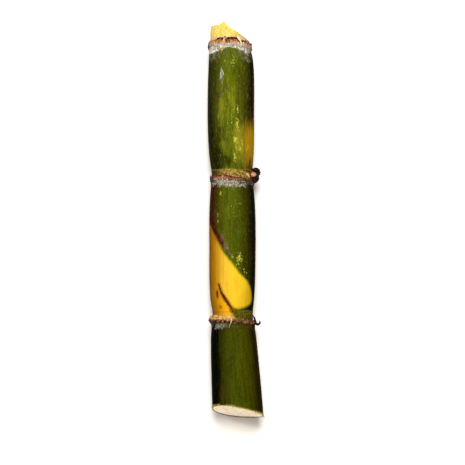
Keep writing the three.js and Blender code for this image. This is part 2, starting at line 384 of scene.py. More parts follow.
@dataclass
class Draft:
    """Points and faces of one piece in millimetres, with the values that its finish reads."""

    points: list[Array] = field(default_factory=list)
    faces: list[tuple[int, ...]] = field(default_factory=list)
    slots: list[int] = field(default_factory=list)
    values: dict[str, list[Array]] = field(default_factory=dict)
    count: int = 0

    def _keep(self, points: Array, values: dict[str, Array]) -> int:
        """Adds points and their values.

        Args:
            points: Points, one a row.
            values: Values by name, one for each point.

        Returns:
            The index of the first of them.
        """
        first = self.count
        for name in set(self.values) | set(values):
            held = self.values.setdefault(name, [])
            if not held and first:
                width = np.asarray(values[name]).shape[1:] if name in values else ()
                held.append(np.zeros((first, *width)))
            given = values.get(name)
            if given is None:
                given = np.zeros((len(points), *held[0].shape[1:]))
            held.append(np.asarray(given, float))
        self.points.append(points)
        self.count += len(points)
        return first

    def add_tube(
        self,
        grid: Array,
        values: dict[str, Array],
        slot: int | Sequence[int] = 0,
        closed_start: bool = True,
        closed_end: bool = True,
        ring: bool = False,
    ) -> None:
        """Adds a tube whose rows are closed loops.

        Args:
            grid: Points as rows, columns and three coordinates; each row is a loop.
            values: Values by name, of the same rows and columns.
            slot: Material slot of its faces, or one for each band of faces.
            closed_start: Whether the first row is closed with a fan.
            closed_end: Whether the last row is.
            ring: Whether the last row joins the first, as in a collar.
        """
        rows, columns = grid.shape[:2]
        flat = {k: np.asarray(v).reshape(rows * columns, *np.shape(v)[2:]) for k, v in values.items()}
        first = self._keep(grid.reshape(-1, 3), flat)
        bands = rows if ring else rows - 1
        slots = [slot] * bands if isinstance(slot, int) else list(slot)
        for i in range(bands):
            a, b = first + i * columns, first + ((i + 1) % rows) * columns
            for j in range(columns):
                k = (j + 1) % columns
                self.faces.append((a + j, a + k, b + k, b + j))
                self.slots.append(slots[i])
        for row, wanted in ((0, closed_start), (rows - 1, closed_end)):
            if not wanted or ring:
                continue
            middle = {k: np.asarray(v)[row].mean(0)[None] for k, v in values.items()}
            tip = self._keep(grid[row].mean(0)[None], middle)
            start = first + row * columns
            for j in range(columns):
                k = (j + 1) % columns
                corners = (tip, start + k, start + j) if row == 0 else (tip, start + j, start + k)
                self.faces.append(corners)
                self.slots.append(slots[0 if row == 0 else -1])

    def build(
        self,
        name: str,
        finishes: Sequence[bpy.types.Material],
        slot: str,
        replaces: Sequence[str] = (),
        crease: float = 55.0,
    ) -> None:
        """Makes the piece, rides it on the cane and hides the CAD parts that it stands for.

        Args:
            name: The piece's name.
            finishes: Its materials, in the order of the faces' slots.
            slot: Not used.
            replaces: CAD nodes that it stands for.
            crease: Angle in degrees over which an edge looks sharp.
        """
        mesh = bpy.data.meshes.new(name)
        points = np.concatenate(self.points) * MM
        points[:, 2] = np.maximum(points[:, 2], 0.0)
        mesh.from_pydata(points.tolist(), [], self.faces)
        mesh.polygons.foreach_set("material_index", self.slots)
        mesh.polygons.foreach_set("use_smooth", [True] * len(self.faces))
        for key, held in self.values.items():
            data = np.concatenate(held)
            is_vector = data.ndim == 2
            layer = mesh.attributes.new(key, "FLOAT_VECTOR" if is_vector else "FLOAT", "POINT")
            layer.data.foreach_set("vector" if is_vector else "value", data.astype(np.float32).ravel())
        for finish in finishes:
            mesh.materials.append(finish)
        mesh.update()
        mesh.set_sharp_from_angle(angle=math.radians(crease))
        piece = bpy.data.objects.new(name, mesh)
        bpy.context.scene.collection.objects.link(piece)
        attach(piece, BODY)
        if replaces:
            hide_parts(*replaces)
        LOG.info("%s: %d faces", name, len(self.faces))


@dataclass(frozen=True)
class Grain:
    """Noise on the skin with lumps of a real size, in millimetres across and along the cane.

    It runs from 0 to 1, mostly near a half. With a swing it is centred on 0 and that many times as strong.
    """

    across: float
    along: float
    detail: float = 3.0
    seed: float = 0.0
    swing: float = 0.0


class Sum(Enum):
    """The arithmetic that joins terms."""

    PLUS = "ADD"
    TIMES = "MULTIPLY"
    HIGHEST = "MAXIMUM"


class Lay(Enum):
    """How a colour meets the one beneath it."""

    OVER = "MIX"
    TINT = "MULTIPLY"


class Paint:
    """The node tree of one finish, ending in a Principled surface.

    A term is what its methods add up: the name of a value that the mesh carries, a Grain, a socket or a
    number. A colour is sRGB hex digits, four linear numbers or a socket.
    """

    def __init__(self, name: str, light: float = STUDIO_LIGHT) -> None:
        """Starts the material.

        Args:
            name: The material's name.
            light: How strong the light is that its hex colours are seen in.
        """
        self.light = light
        self.material = bpy.data.materials.new(name)
        self.material.use_nodes = True
        self.tree = self.material.node_tree

    def join(self, node: bpy.types.Node, links: dict[str | int, Any]) -> None:
        """Links or sets a node's inputs.

        Args:
            node: The node.
            links: Values or sockets by input name or number.
        """
        for key, value in links.items():
            if isinstance(value, bpy.types.NodeSocket):
                self.tree.links.new(value, node.inputs[key])
            else:
                node.inputs[key].default_value = value

    def add(
        self,
        kind: str,
        links: dict[str | int, Any],
        out: str | int = 0,
        stops: Sequence[tuple[float, str]] = (),
        **settings: Any,
    ) -> bpy.types.NodeSocket:
        """Adds a node with its settings and links.

        Args:
            kind: The node's type, without its ShaderNode prefix.
            links: Values or sockets by input name or number.
            out: Name or number of the output that is wanted.
            stops: For a colour ramp, places from 0 to 1 with their hex colours.
            settings: The node's own properties.

        Returns:
            The output's socket.
        """
        node = self.tree.nodes.new("ShaderNode" + kind)
        for key, value in settings.items():
            setattr(node, key, value)
        self.join(node, links)
        while stops and len(node.color_ramp.elements) < len(stops):
            node.color_ramp.elements.new(0.5)
        for stop, (place, colour) in enumerate(stops):
            node.color_ramp.elements[stop].position = place
            node.color_ramp.elements[stop].color = linear(colour, self.light)
        return node.outputs[out]

    def total(self, *terms: Any, by: Sum = Sum.PLUS) -> Any:
        """Joins terms by one kind of arithmetic.

        Args:
            terms: The terms, in order.
            by: The arithmetic.

        Returns:
            The socket of the result.
        """
        result = None
        for term in terms:
            if isinstance(term, str):
                term = self.add("Attribute", {}, "Fac", attribute_name=term)
            elif isinstance(term, Grain):
                shift = (term.seed, term.seed * 1.7, term.seed * 0.6)
                size = (1 / term.across, 1 / term.along, 1 / term.across)
                skin = self.add("Attribute", {}, "Vector", attribute_name="skin")
                scaled = self.add("Mapping", {"Vector": skin, "Location": shift, "Scale": size})
                swing = term.swing
                term = self.add("TexNoise", {"Vector": scaled, "Scale": 1.0, "Detail": term.detail})
                if swing:
                    term = self.add("Math", {0: term, 1: swing, 2: -swing / 2}, operation="MULTIPLY_ADD")
            result = term if result is None else self.add("Math", {0: result, 1: term}, operation=by.value)
        return result

    def share(self, low: float, high: float, *terms: Any, most: Any = None) -> Any:
        """Where the sum of some terms has risen.

        Args:
            low: The sum at which the share is 0.
            high: The sum at which it is full; below low for a fall.
            terms: The terms.
            most: Term that the share is multiplied by.

        Returns:
            The share's socket.
        """
        links = {0: self.total(*terms), 1: low, 2: high, 3: 0.0, 4: 1.0}
        step = self.add("MapRange", links, interpolation_type="SMOOTHSTEP")
        return step if most is None else self.total(step, most, by=Sum.TIMES)

    def cover(
        self,
        under: Any,
        over: Any,
        low: float,
        high: float,
        *terms: Any,
        most: Any = None,
        how: Lay = Lay.OVER,
    ) -> Any:
        """Lays a colour over another where the sum of some terms has risen.

        Args:
            under: The colour beneath.
            over: The colour on top.
            low: The sum at which it starts to show.
            high: The sum at which it covers.
            terms: The terms.
            most: Term that its cover is multiplied by.
            how: How the colours meet.

        Returns:
            The colour's socket.
        """
        under, over = (linear(hue, self.light) if isinstance(hue, str) else hue for hue in (under, over))
        links = {0: self.share(low, high, *terms, most=most), 6: under, 7: over}
        return self.add("Mix", links, 2, data_type="RGBA", blend_type=how.value)

    def relief(self, *layers: tuple[Any, float], under: Any = None) -> Any:
        """Fine relief, from the coarsest to the finest.

        Args:
            layers: Terms of height from 0 to 1 with their depths in millimetres.
            under: Relief that it lies on.

        Returns:
            The normal's socket.
        """
        for height, depth in layers:
            links = {"Height": self.total(height), "Strength": 1.0, "Distance": depth * MM}
            under = self.add("Bump", links if under is None else {**links, "Normal": under})
        return under

    def finish(
        self, colour: Any, roughness: Any, normal: Any, ior: float, specular: float, **others: Any
    ) -> bpy.types.Material:
        """Joins the surface.

        Args:
            colour: Colour socket.
            roughness: Socket or number.
            normal: Normal socket.
            ior: Index of refraction.
            specular: The surface's specular level, where 0.5 is that of its index.
            others: Further sockets or numbers, by input name in small letters.

        Returns:
            The material.
        """
        links = {"Base Color": colour, "Roughness": roughness, "Normal": normal, "IOR": ior}
        links["Specular IOR Level"] = specular
        links.update({key.replace("_", " ").title(): value for key, value in others.items()})
        self.join(self.tree.nodes["Principled BSDF"], links)
        return self.material


# Hidden flanks and underside, where this cane is purplish brown
UNDERSIDE = "33231c"


@dataclass(frozen=True)
class RoundTones:
    """Rind colours round one internode, as they look from above, from its left flank to its right; the darker
    flanks are partly painted shade.
    """

    left_flank_with_shade: str
    left: str
    crown: str
    top: str
    right: str
    right_flank_with_shade: str

    def stops(self) -> list[tuple[float, str]]:
        """The colours as stops of a ramp that runs once round the cane.

        Returns:
            Places from 0 to 1 with their colours, where a half is the top.
        """
        degrees = (-120, -88, -46, -20, 4, 34, 58, 78, 112)
        shown = (self.left_flank_with_shade, self.left, self.crown, self.top, self.right, self.right_flank_with_shade)
        colours = (UNDERSIDE, *shown, self.right_flank_with_shade, UNDERSIDE)
        return [(d / 360 + 0.5, c) for d, c in zip(degrees, colours)]


@dataclass(frozen=True)
class WaxyRind:
    """Fresh sugar cane rind, as grown: hard, ribbed along its length and satin under a powdery wax.

    Each internode has its own colours from the left flank over the top to the right flank: a green cane
    that is darker at its sides, partly its own brown and partly painted shade where the light falls off,
    with one patch ripened to yellow.
    """

    # Flank colours: partly the rind's own brown, partly painted shade where the overhead light falls off
    butt: RoundTones = RoundTones("060402", "070601", "434707", "4c5606", "464802", "261f03")
    lower: RoundTones = RoundTones("2a0f05", "443a06", "5a620e", "566308", "403f05", "120c02")
    upper: RoundTones = RoundTones("0e0f02", "3c410c", "5f6912", "617006", "4c4e0d", "1e1904")
    ripe: RoundTones = RoundTones("402804", "b8800c", "f6c638", "fdd22e", "f6cc24", "c89c16")
    lobe: RoundTones = RoundTones("5c3a0c", "c48608", "fab61c", "f4b41c", "c99016", "8a5a12")

    def make(self) -> bpy.types.Material:
        """Makes the material.

        Returns:
            The material.
        """
        p = Paint("sugar_cane_rind_waxed")
        skin = p.add("Attribute", {}, "Vector", attribute_name="skin")
        across, along, up = p.add("SeparateXYZ", {0: skin}).node.outputs
        turned = p.add("Math", {0: across, 1: up}, operation="ARCTAN2")
        round_cane = p.add("Math", {0: turned, 1: 1 / (2 * math.pi), 2: 0.5}, operation="MULTIPLY_ADD")
        place = p.total(round_cane, Grain(1.6, 34, 4, 3, swing=0.07))
        colour = self.stained(p, self.green(p, place, along))
        wobble = p.total(Grain(1.1, 2.2, 4, 21, swing=1.8))
        colour = self.ripened(p, colour, place, along, wobble)
        colour = self.banded(p, colour, along, wobble)
        crumbs = p.total(Grain(0.55, 0.8, 4, 77))
        torn = p.add("Math", {0: crumbs, 1: 5.0, 2: -2.5}, operation="MULTIPLY_ADD")
        colour = self.rubbed(p, colour, skin, crumbs, torn)
        # Powdery wax under each leaf scar, mottled where it has been rubbed, and duller at the right flank as
        # painted shade
        clots = p.total(Grain(1.3, 1.6, 6, 81))
        powder = p.share(1.36, 1.78, clots, Grain(3.4, 3.2, 2, 83), "wax")
        dull = p.add("ValToRGB", {0: clots}, stops=((0.34, "282012"), (0.5, "4e4634"), (0.66, "8a816a")))
        whites = ((0.34, "8a8466"), (0.44, "c4bea4"), (0.54, "ece8da"), (0.64, "ffffff"))
        white = p.add("ValToRGB", {0: clots}, stops=whites)
        wax = p.add("Mix", {0: p.total("white"), 6: dull, 7: white}, 2, data_type="RGBA")
        colour = p.add("Mix", {0: powder, 6: colour, 7: wax}, 2, data_type="RGBA")
        dirty = p.total(powder, 0.5, by=Sum.TIMES)
        colour = p.cover(colour, "3c3020", 0.52, 0.68, Grain(0.9, 1.4, 4, 95), most=dirty)
        colour = p.cover(colour, "3a130b", 1.1, 0.2, "scar", most=0.9)
        # Frayed yellow-green edge of the knife cut
        rim = p.total("rim", 0.9, by=Sum.TIMES)
        colour = p.cover(colour, "9a9438", 1.5, 0.3, along, torn, most=rim)
        # Satin where clean, dull where waxed; rubbed places have a thin polish
        rough = p.add("Math", {0: powder, 1: 0.4, 2: 0.42}, operation="MULTIPLY_ADD")
        normal = p.relief((Grain(0.7, 7, 4, 105), 0.09), (clots, 0.12))
        polish = p.share(1.02, 1.2, Grain(0.5, 2.6, 5, 107), "polish", most=0.9)
        gloss = p.relief((Grain(1.0, 3, 3, 109), 0.15), under=normal)
        coat = {"coat_weight": polish, "coat_normal": gloss, "coat_roughness": 0.08}
        return p.finish(colour, rough, normal, 1.42, 0.002, **coat)

    def green(self, p: Paint, place: Any, along: Any) -> Any:
        """Each internode's colours, with the dark and lime streaks of uneven ripening.

        Args:
            p: The finish's paint.
            place: Place round the cane, from 0 to 1.
            along: Millimetres along the cane.

        Returns:
            The colour.
        """
        # Each ramp darkens towards both flanks: the rind's own colour together with painted shade
        colour = p.add("ValToRGB", {0: place}, stops=self.butt.stops())
        for tones, scar in ((self.lower, BASE_NODE.scar), (self.upper, MIDDLE_NODE.scar)):
            shown = p.add("ValToRGB", {0: place}, stops=tones.stops())
            colour = p.cover(colour, shown, scar - 0.5, scar + 0.5, along)
        dark, dim = (0.42, 0.4, 0.36, 1), (0.42, 0.44, 0.34, 1)
        colour = p.cover(colour, dark, 0.42, 0.66, Grain(2.4, 24, 5, 61), most=0.55, how=Lay.TINT)
        colour = p.cover(colour, "98a01c", 0.94, 1.2, Grain(1.5, 9, 6, 67), "lively", most=0.72)
        colour = p.cover(colour, dim, 0.44, 0.64, Grain(0.9, 2.2, 5, 73), most=0.5, how=Lay.TINT)
        # Pale wax film under the tip node, and a painted highlight streak on the upper internode
        return p.cover(colour, "9b9c74", 0.82, 1.3, Grain(1.3, 3.4, 6, 69), "film", most=0.5)

    def stained(self, p: Paint, colour: Any) -> Any:
        """Stains that the sun and rubbing left, with soft ragged edges; partly painted shadow under the base
        collar.

        Args:
            p: The finish's paint.
            colour: The colour beneath.

        Returns:
            The colour.
        """
        grains = (
            Grain(3, 9, 6, 9, swing=1.5),
            Grain(1.6, 7, 6, 13, swing=1.1),
            Grain(1.4, 9, 5, 17, swing=1.0),
            Grain(0.6, 1.0, 5, 15, swing=2.2),
        )
        ragged, veined, threaded, speckled = (p.total(grain) for grain in grains)
        for name, hue, most, edge, low, high in (
            ("shade", "121102", 0.8, ragged, 0.3, 0.95),
            ("lime", "969020", 0.8, veined, 0.16, 0.95),
            ("amber", "ad870a", 0.95, threaded, 0.1, 1.0),
            ("brown", "46380f", 0.8, ragged, 0.36, 0.9),
            ("maroon", "401204", 0.95, ragged, 0.3, 0.8),
            ("dusky", "7d6152", 0.8, speckled, 0.35, 1.0),
        ):
            colour = p.cover(colour, hue, low, high, name, edge, most=most)
        return colour

    def ripened(self, p: Paint, colour: Any, place: Any, along: Any, wobble: Any) -> Any:
        """The ripe yellow patch: a crisp edge with a dull rim, grains of dried sheath, and a bruise.

        Args:
            p: The finish's paint.
            colour: The colour beneath.
            place: Place round the cane, from 0 to 1.
            along: Millimetres along the cane.
            wobble: Unevenness of outlines, in millimetres.

        Returns:
            The colour.
        """
        inside = p.total("ripe", wobble)
        ripe = p.add("ValToRGB", {0: place}, stops=self.ripe.stops())
        ripe = p.cover(ripe, "d8961c", 0.44, 0.74, Grain(2.6, 13, 6, 30), most=0.34)
        lobe = p.add("ValToRGB", {0: place}, stops=self.lobe.stops())
        ripe = p.cover(ripe, lobe, 0.75, 1.25, "lobe", Grain(2, 4, 4, 33))
        grains = p.add("ValToRGB", {0: place}, stops=((0.33, "dc9a34"), (0.4, "e2a846"), (0.47, "f2d088")))
        ripe = p.cover(ripe, grains, 0.98, 1.2, Grain(1.0, 1.1, 4, 47), "grains", most=0.8)
        ripe = p.cover(ripe, "a8560f", 0.7, 0.76, Grain(0.9, 1.1, 1, 44), most=0.55)
        fringe = p.cover("6f7210", "9a5812", 134, 146, along)
        colour = p.cover(colour, p.cover(fringe, ripe, 0.2, -2.6, inside), 0.8, -0.6, inside)
        colour = p.cover(colour, "a8620c", 2.2, 0.4, "bruise", wobble, most=0.7)
        return p.cover(colour, "3c1402", 0.5, -0.3, "bruise", wobble, most=0.95)

    def banded(self, p: Paint, colour: Any, along: Any, wobble: Any) -> Any:
        """The root band over each leaf scar: yellower, with rows of root dots and a growth ring.

        Args:
            p: The finish's paint.
            colour: The colour beneath.
            along: Millimetres along the cane.
            wobble: Unevenness of outlines, in millimetres.

        Returns:
            The colour.
        """
        tones = ((0.3, "3e2c0a"), (0.44, "7a6018"), (0.54, "a8823a"), (0.68, "dcbe7c"))
        band = p.add("ValToRGB", {0: p.total(Grain(1.0, 1.7, 5, 51))}, stops=tones)
        band = p.cover(band, (0.5, 0.66, 0.2, 1), 150, 120, along, how=Lay.TINT)
        # Towards both flanks the band is drawn darker, partly its own colour and partly painted shade
        for near, far in ((0.7, 0.98), (-0.24, -0.62)):
            band = p.cover(band, "2e1f09", near, far, "side", most=0.85)
        colour = p.cover(colour, band, 0.5, -0.5, "band", most="band_share")
        dots = p.cover("8f9420", "caa54c", 120, 150, along)
        colour = p.cover(colour, dots, 0.3, 0.8, "dots", most=0.5)
        colour = p.cover(colour, "7c3810", 2.4, -0.6, "halo", wobble, most=0.85)
        return p.cover(colour, "8d8236", 0.75, 0.1, "ring", most="ring_share")

    def rubbed(self, p: Paint, colour: Any, skin: Any, crumbs: Any, torn: Any) -> Any:
        """Pale rubbed flecks, scratches, and cracks in the wax where the rind has been knocked.

        Args:
            p: The finish's paint.
            colour: The colour beneath.
            skin: The straightened skin, in millimetres.
            crumbs: Fine noise from 0 to 1.
            torn: The same noise as unevenness in millimetres.

        Returns:
            The colour.
        """
        worn = p.total("worn", 0.42, by=Sum.TIMES)
        colour = p.cover(colour, "94955a", 0.57, 0.7, Grain(0.7, 3.2, 6, 71), most=worn)
        # Wax cracks about 2.2 mm apart, bent by lumps of 1.3 mm
        lumps = p.add("TexNoise", {"Vector": skin, "Scale": 1 / 1.3}, "Color")
        bent = p.add("Mix", {0: 0.25, 4: skin, 5: lumps}, 1, data_type="VECTOR")
        cells = p.add("TexVoronoi", {"Vector": bent, "Scale": 1 / 2.2}, feature="DISTANCE_TO_EDGE")
        knocked = p.share(0.88, 1.02, Grain(1.6, 2.2, 3, 79), "sparkle")
        crack = p.share(0.1, 0.03, cells, most=knocked)
        crumbled = p.share(1.04, 1.14, crumbs, "sparkle")
        scuff = p.share(0.35, -0.15, "scuff", torn)
        spark = p.total(p.total(crack, crumbled, scuff, by=Sum.HIGHEST), 0.9, by=Sum.TIMES)
        return p.add("Mix", {0: spark, 6: colour, 7: linear("e2dc58")}, 2, data_type="RGBA")


@dataclass(frozen=True)
class KnifeCutPith:
    """Cane pith cut across with a knife: moist, ivory, dotted with the ends of its fibres."""

    shaded_light: float = 1.24

    def make(self) -> bpy.types.Material:
        """Makes the material.

        Returns:
            The material.
        """
        p = Paint("sugar_cane_pith_cut", self.shaded_light)
        ivories = ((0.32, "ead4b0"), (0.5, "f6e8cc"), (0.66, "fffbea"))
        colour = p.add("ValToRGB", {0: p.total(Grain(4, 4, 5, 7))}, stops=ivories)
        # Fibre ends about 0.9 mm apart, drawn as large as they need to show
        skin = p.add("Attribute", {}, "Vector", attribute_name="skin")
        ends = p.add("TexVoronoi", {"Vector": skin, "Scale": 1 / 1.25}, feature="F1")
        colour = p.cover(colour, "d9b27e", 0.3, 0.12, ends, most=0.5)
        colour = p.cover(colour, "ecca9c", 0.5, 0.75, Grain(7, 0.5, 3, 13), most=0.4)
        # The rind's edge is seen in the full light
        p.light = STUDIO_LIGHT
        rind = p.add("ValToRGB", {0: p.total("height")}, stops=((0.42, "4c2e18"), (0.62, "8f8a2c")))
        colour = p.cover(colour, rind, 0.95, 0.985, "face")
        normal = p.relief((ends, 0.08), (Grain(9, 0.7, 3, 13), 0.12))
        return p.finish(colour, 0.5, normal, 1.38, 0.35)


@dataclass(frozen=True)
class SnappedSoftTissue:
    """Young cane tissue, snapped by hand: soft yellow, granular, paler and frayed at its edge."""

    def make(self) -> bpy.types.Material:
        """Makes the material.

        Returns:
            The material.
        """
        p = Paint("sugar_cane_soft_tissue_snapped")
        lumps = p.total(Grain(1.5, 1.4, 6, 17))
        yellows = ((0.3, "f2b23a"), (0.46, "fcda62"), (0.56, "ffe674"), (0.68, "fff4b8"))
        colour = p.add("ValToRGB", {0: lumps}, stops=yellows)
        colour = p.cover(colour, "f0a43c", 0.8, 1.2, "flame", Grain(2, 2.5, 4, 23), most=0.75)
        colour = p.cover(colour, "f4cf9a", 0.75, 1.15, "foot", Grain(1.5, 1.2, 3, 31))
        colour = p.cover(colour, "8d6a48", 1.0, 1.3, "skin_edge", Grain(1.0, 1.0, 3, 37), most=0.8)
        colour = p.cover(colour, "ffe68c", 0.2, 0.9, "torn", most=0.8)
        # Painted shadow: dark red-black in the slit where the stub's foot meets the tip collar
        colour = p.cover(colour, "340806", 0.85, 1.05, "slit", Grain(1.0, 1.2, 2, 43))
        normal = p.relief((lumps, 0.35), (Grain(0.5, 0.6, 3, 41), 0.1))
        return p.finish(colour, 0.62, normal, 1.38, 0.08)


@dataclass(frozen=True)
class DrySheath:
    """Leaf sheath dried on the cane: papery, fibrous, torn to teeth and darker where it curls under, as
    painted shade.

    left and right are its colours from the lower edge to the upper one, on those sides of the cane.
    """

    name: str
    left: tuple[tuple[float, str], ...]
    right: tuple[tuple[float, str], ...]
    glow: str
    pale: str
    burnt: str
    bloom: float
    shade_from: float

    def make(self) -> bpy.types.Material:
        """Makes the material.

        Returns:
            The material.
        """
        p = Paint(self.name)
        jitter = p.total(Grain(1.0, 3, 3, 5, swing=0.5))
        up, side = p.total("up", jitter), p.total("side", jitter)
        left, right = (p.add("ValToRGB", {0: up}, stops=stops) for stops in (self.left, self.right))
        colour = p.cover(left, right, -0.3, 0.3, side)
        colour = p.cover(colour, self.pale, 0.55, 0.8, "tone", most=0.8)
        colour = p.cover(colour, self.burnt, 0.45, 0.2, "tone", most=0.9)
        colour = p.cover(colour, self.glow, 0.55, 0.68, Grain(2.2, 2.6, 3, 15), most=0.75)
        fibre = (0.45, 0.36, 0.3, 1)
        colour = p.cover(colour, fibre, 0.42, 0.66, Grain(0.45, 5, 4, 25), most=0.7, how=Lay.TINT)
        # Wax bloom towards the lower edge, drawn less at the right as painted shade
        lower = p.add("Math", {0: p.total("up"), 1: -0.35, 2: self.bloom + 0.14}, operation="MULTIPLY_ADD")
        lower = p.total(lower, p.share(0.3, 0.7, side, most=-0.3))
        colour = p.cover(colour, "cfc8b2", 0.98, 1.14, Grain(1.1, 1.3, 5, 35), lower)
        # Painted shade: darker towards both flanks of the cane
        colour = p.cover(colour, "241610", self.shade_from, self.shade_from + 0.2, side, most=0.9)
        colour = p.cover(colour, "241610", 0.14 - self.shade_from, -self.shade_from - 0.16, side, most=0.85)
        # Painted shade: dark on the collar's inner side and under each flake
        colour = p.cover(colour, "2a0d08", 0.3, 0.9, "hollow")
        return p.finish(colour, 0.82, p.relief((Grain(0.4, 4, 4, 25), 0.18)), 1.45, 0.2)


@dataclass(frozen=True)
class Scale:
    """Small plant scales: fresh and fleshy, dried brown, or blackened, with fine ribs to their tip."""

    name: str
    dark: str
    mid: str
    light: str
    roughness: float
    specular: float
    rim: str

    def make(self) -> bpy.types.Material:
        """Makes the material.

        Returns:
            The material.
        """
        p = Paint(self.name)
        stops = ((0.32, self.dark), (0.5, self.mid), (0.68, self.light))
        colour = p.add("ValToRGB", {0: p.total(Grain(0.9, 1.8, 4, 3))}, stops=stops)
        colour = p.cover(colour, self.rim, 0.9, 1.2, "rim", Grain(0.7, 0.7, 2, 9), most=0.9)
        normal = p.relief((Grain(0.35, 2.5, 3, 13), 0.12))
        return p.finish(colour, self.roughness, normal, 1.42, self.specular)


@dataclass(frozen=True)
class StrawFibre:
    """Loose sheath fibre, torn and dried: pale straw, ribbed along, browner at its foot."""

    name: str
    pale: str
    brown: str

    def make(self) -> bpy.types.Material:
        """Makes the material.

        Returns:
            The material.
        """
        p = Paint(self.name)
        stops = ((0.0, self.brown), (0.3, self.pale), (1.0, self.pale))
        colour = p.add("ValToRGB", {0: p.total("up")}, stops=stops)
        colour = p.cover(colour, self.brown, 0.5, 0.66, Grain(0.6, 1.4, 4, 3), most=0.5)
        return p.finish(colour, 0.75, p.relief((Grain(0.25, 3, 3, 13), 0.1)), 1.45, 0.25)


@dataclass(frozen=True)
class MattSweep:
    """Studio floor of matt white card with a barely visible tooth."""

    white: str = "d7d6d5"
    brighter: str = "dbdad9"

    def make(self) -> bpy.types.Material:
        """Makes the material.

        Returns:
            The material.
        """
        p = Paint("studio_floor_matt_card", 1.0)
        place = p.add("TexCoord", {}, "Object")
        cloud, tooth = (p.add("TexNoise", {"Vector": place, "Scale": a, "Detail": 2.0}) for a in (3.0, 900.0))
        white, brighter = (linear(hue, p.light) for hue in (self.white, self.brighter))
        colour = p.add("Mix", {0: cloud, 6: white, 7: brighter}, 2, data_type="RGBA")
        return p.finish(colour, 0.95, p.relief((tooth, 0.02)), 1.45, 0.1)


def stroke_distance(phi: Array, s: Array, points: Sequence[tuple[float, float]]) -> Array:
    """Distance on the unrolled skin to a line through points.

    Args:
        phi: Degrees from the top, right positive.
        s: Millimetres along the cane.
        points: Degrees from the top and millimetres along.

    Returns:
        Millimetres.
    """
    per_degree = math.radians(1) * SKIN_RADIUS
    x, y = phi * per_degree, s
    best = np.full(np.shape(x), 1e3)
    for (a, b), (c, d) in zip(points[:-1], points[1:]):
        ax, cx = a * per_degree, c * per_degree
        length = (cx - ax) ** 2 + (d - b) ** 2
        t = np.clip(((x - ax) * (cx - ax) + (y - b) * (d - b)) / max(length, 1e-9), 0, 1)
        best = np.minimum(best, np.hypot(x - ax - t * (cx - ax), y - b - t * (d - b)))
    return best


def signed_outside(phi: Array, s: Array, corners: Sequence[tuple[float, float]]) -> Array:
    """Distance outside a closed outline on the unrolled skin, negative inside it.

    Args:
        phi: Degrees from the top, right positive.
        s: Millimetres along the cane.
        corners: Degrees from the top and millimetres along, in order.

    Returns:
        Millimetres.
    """
    ring = list(corners) + [corners[0]]
    inside = np.zeros(np.shape(phi), bool)
    for (a, b), (c, d) in zip(ring[:-1], ring[1:]):
        crosses = (b > s) != (d > s)
        with np.errstate(divide="ignore", invalid="ignore"):
            at = a + (s - b) / (d - b) * (c - a)
        inside ^= crosses & (phi < at)
    return np.where(inside, -1, 1) * stroke_distance(phi, s, ring)


@dataclass(frozen=True)
class Stain:
    """A soft oval stain on the skin: its middle and half sizes, in degrees and millimetres."""

    phi: float
    s: float
    across: float
    along: float
    most: float = 1.0

    def at(self, phi: Array, s: Array) -> Array:
        """The stain's strength.

        Args:
            phi: Degrees from the top.
            s: Millimetres along.

        Returns:
            Values from 0 to most.
        """
        return self.most * np.exp(-(((phi - self.phi) / self.across) ** 2) - ((s - self.s) / self.along) ** 2)


# Where the rind is stained, by the names that its finish reads
STAINS: dict[str, tuple[Stain, ...]] = {
    "shade": (
        Stain(-44, 214, 24, 14, 1.2), Stain(-56, 234, 16, 30, 0.9), Stain(-28, 232, 20, 14, 0.7),
        Stain(-12, 213, 18, 8, 0.8), Stain(-20, 208.5, 20, 3, 0.6), Stain(24, 83, 44, 5, 0.62),
    ),
    "lime": (
        Stain(20, 228, 20, 20, 0.9), Stain(30, 214, 24, 8, 0.6), Stain(-22, 256, 9, 14, 0.7),
        Stain(-22, 226, 8, 14, 0.5), Stain(8, 262, 8, 16, 0.5), Stain(-8, 280, 6, 12, 0.4),
    ),
    "amber": (Stain(60, 228, 30, 17, 1.25), Stain(48, 214, 24, 9, 0.6), Stain(72, 216, 18, 12, 0.9)),
    "brown": (
        Stain(-36, 269, 7, 6), Stain(-43, 290, 8, 16, 0.45), Stain(44, 276, 10, 22, 0.5),
        Stain(-36, 12, 16, 16, 0.62), Stain(34, 14, 26, 12, 0.5), Stain(-2, 36, 12, 14, 0.34),
        # These two, just under the base collar, are partly the rind's own brown and partly painted shadow
        # under its overhang
        Stain(26, 72.6, 48, 4, 0.95), Stain(-8, 73, 12, 4, 0.8),
    ),
    "maroon": (Stain(-60, 178, 9, 18), Stain(-56, 160, 9, 9, 0.9)),
    "dusky": (
        Stain(-16, 140, 9, 5), Stain(-27, 148, 7, 6, 0.85), Stain(-8, 134, 6, 4, 0.7),
        Stain(-42, 166, 5, 12, 0.5),
    ),
    "lively": (
        Stain(0, 262, 26, 36, 0.54), Stain(24, 228, 24, 22, 0.5), Stain(-30, 256, 16, 30, 0.46),
        Stain(-16, 216, 22, 12, 0.42), Stain(-10, 172, 26, 26, 0.4), Stain(14, 40, 22, 26, 0.28),
        Stain(14, 128, 22, 18, 0.44), Stain(8, 300, 26, 8, 0.42),
    ),
    "sparkle": (
        Stain(17, 256, 3, 4, 0.6), Stain(16, 243, 7, 4, 0.6), Stain(11, 230, 9, 5, 0.6),
        Stain(8, 215, 6, 6, 0.55), Stain(22, 222, 7, 4, 0.5), Stain(-32, 185, 6, 3, 0.54),
        Stain(-16, 190, 6, 2, 0.48), Stain(18, 129, 18, 9, 0.48), Stain(0, 131, 10, 5, 0.46),
        Stain(-14, 138, 6, 4, 0.46), Stain(42, 222, 14, 10, 0.42), Stain(-39, 165, 3, 12, 0.46),
        Stain(6, 296, 12, 8, 0.48), Stain(38, 117, 6, 4, 0.48), Stain(52, 201.5, 14, 2, 0.55),
        Stain(10, 170, 40, 22, 0.31), Stain(0, 250, 60, 45, 0.3),
    ),
    "polish": (Stain(-24, 286, 12, 12, 0.64), Stain(-24, 268, 10, 18, 0.5), Stain(-20, 180, 10, 16, 0.44)),
}


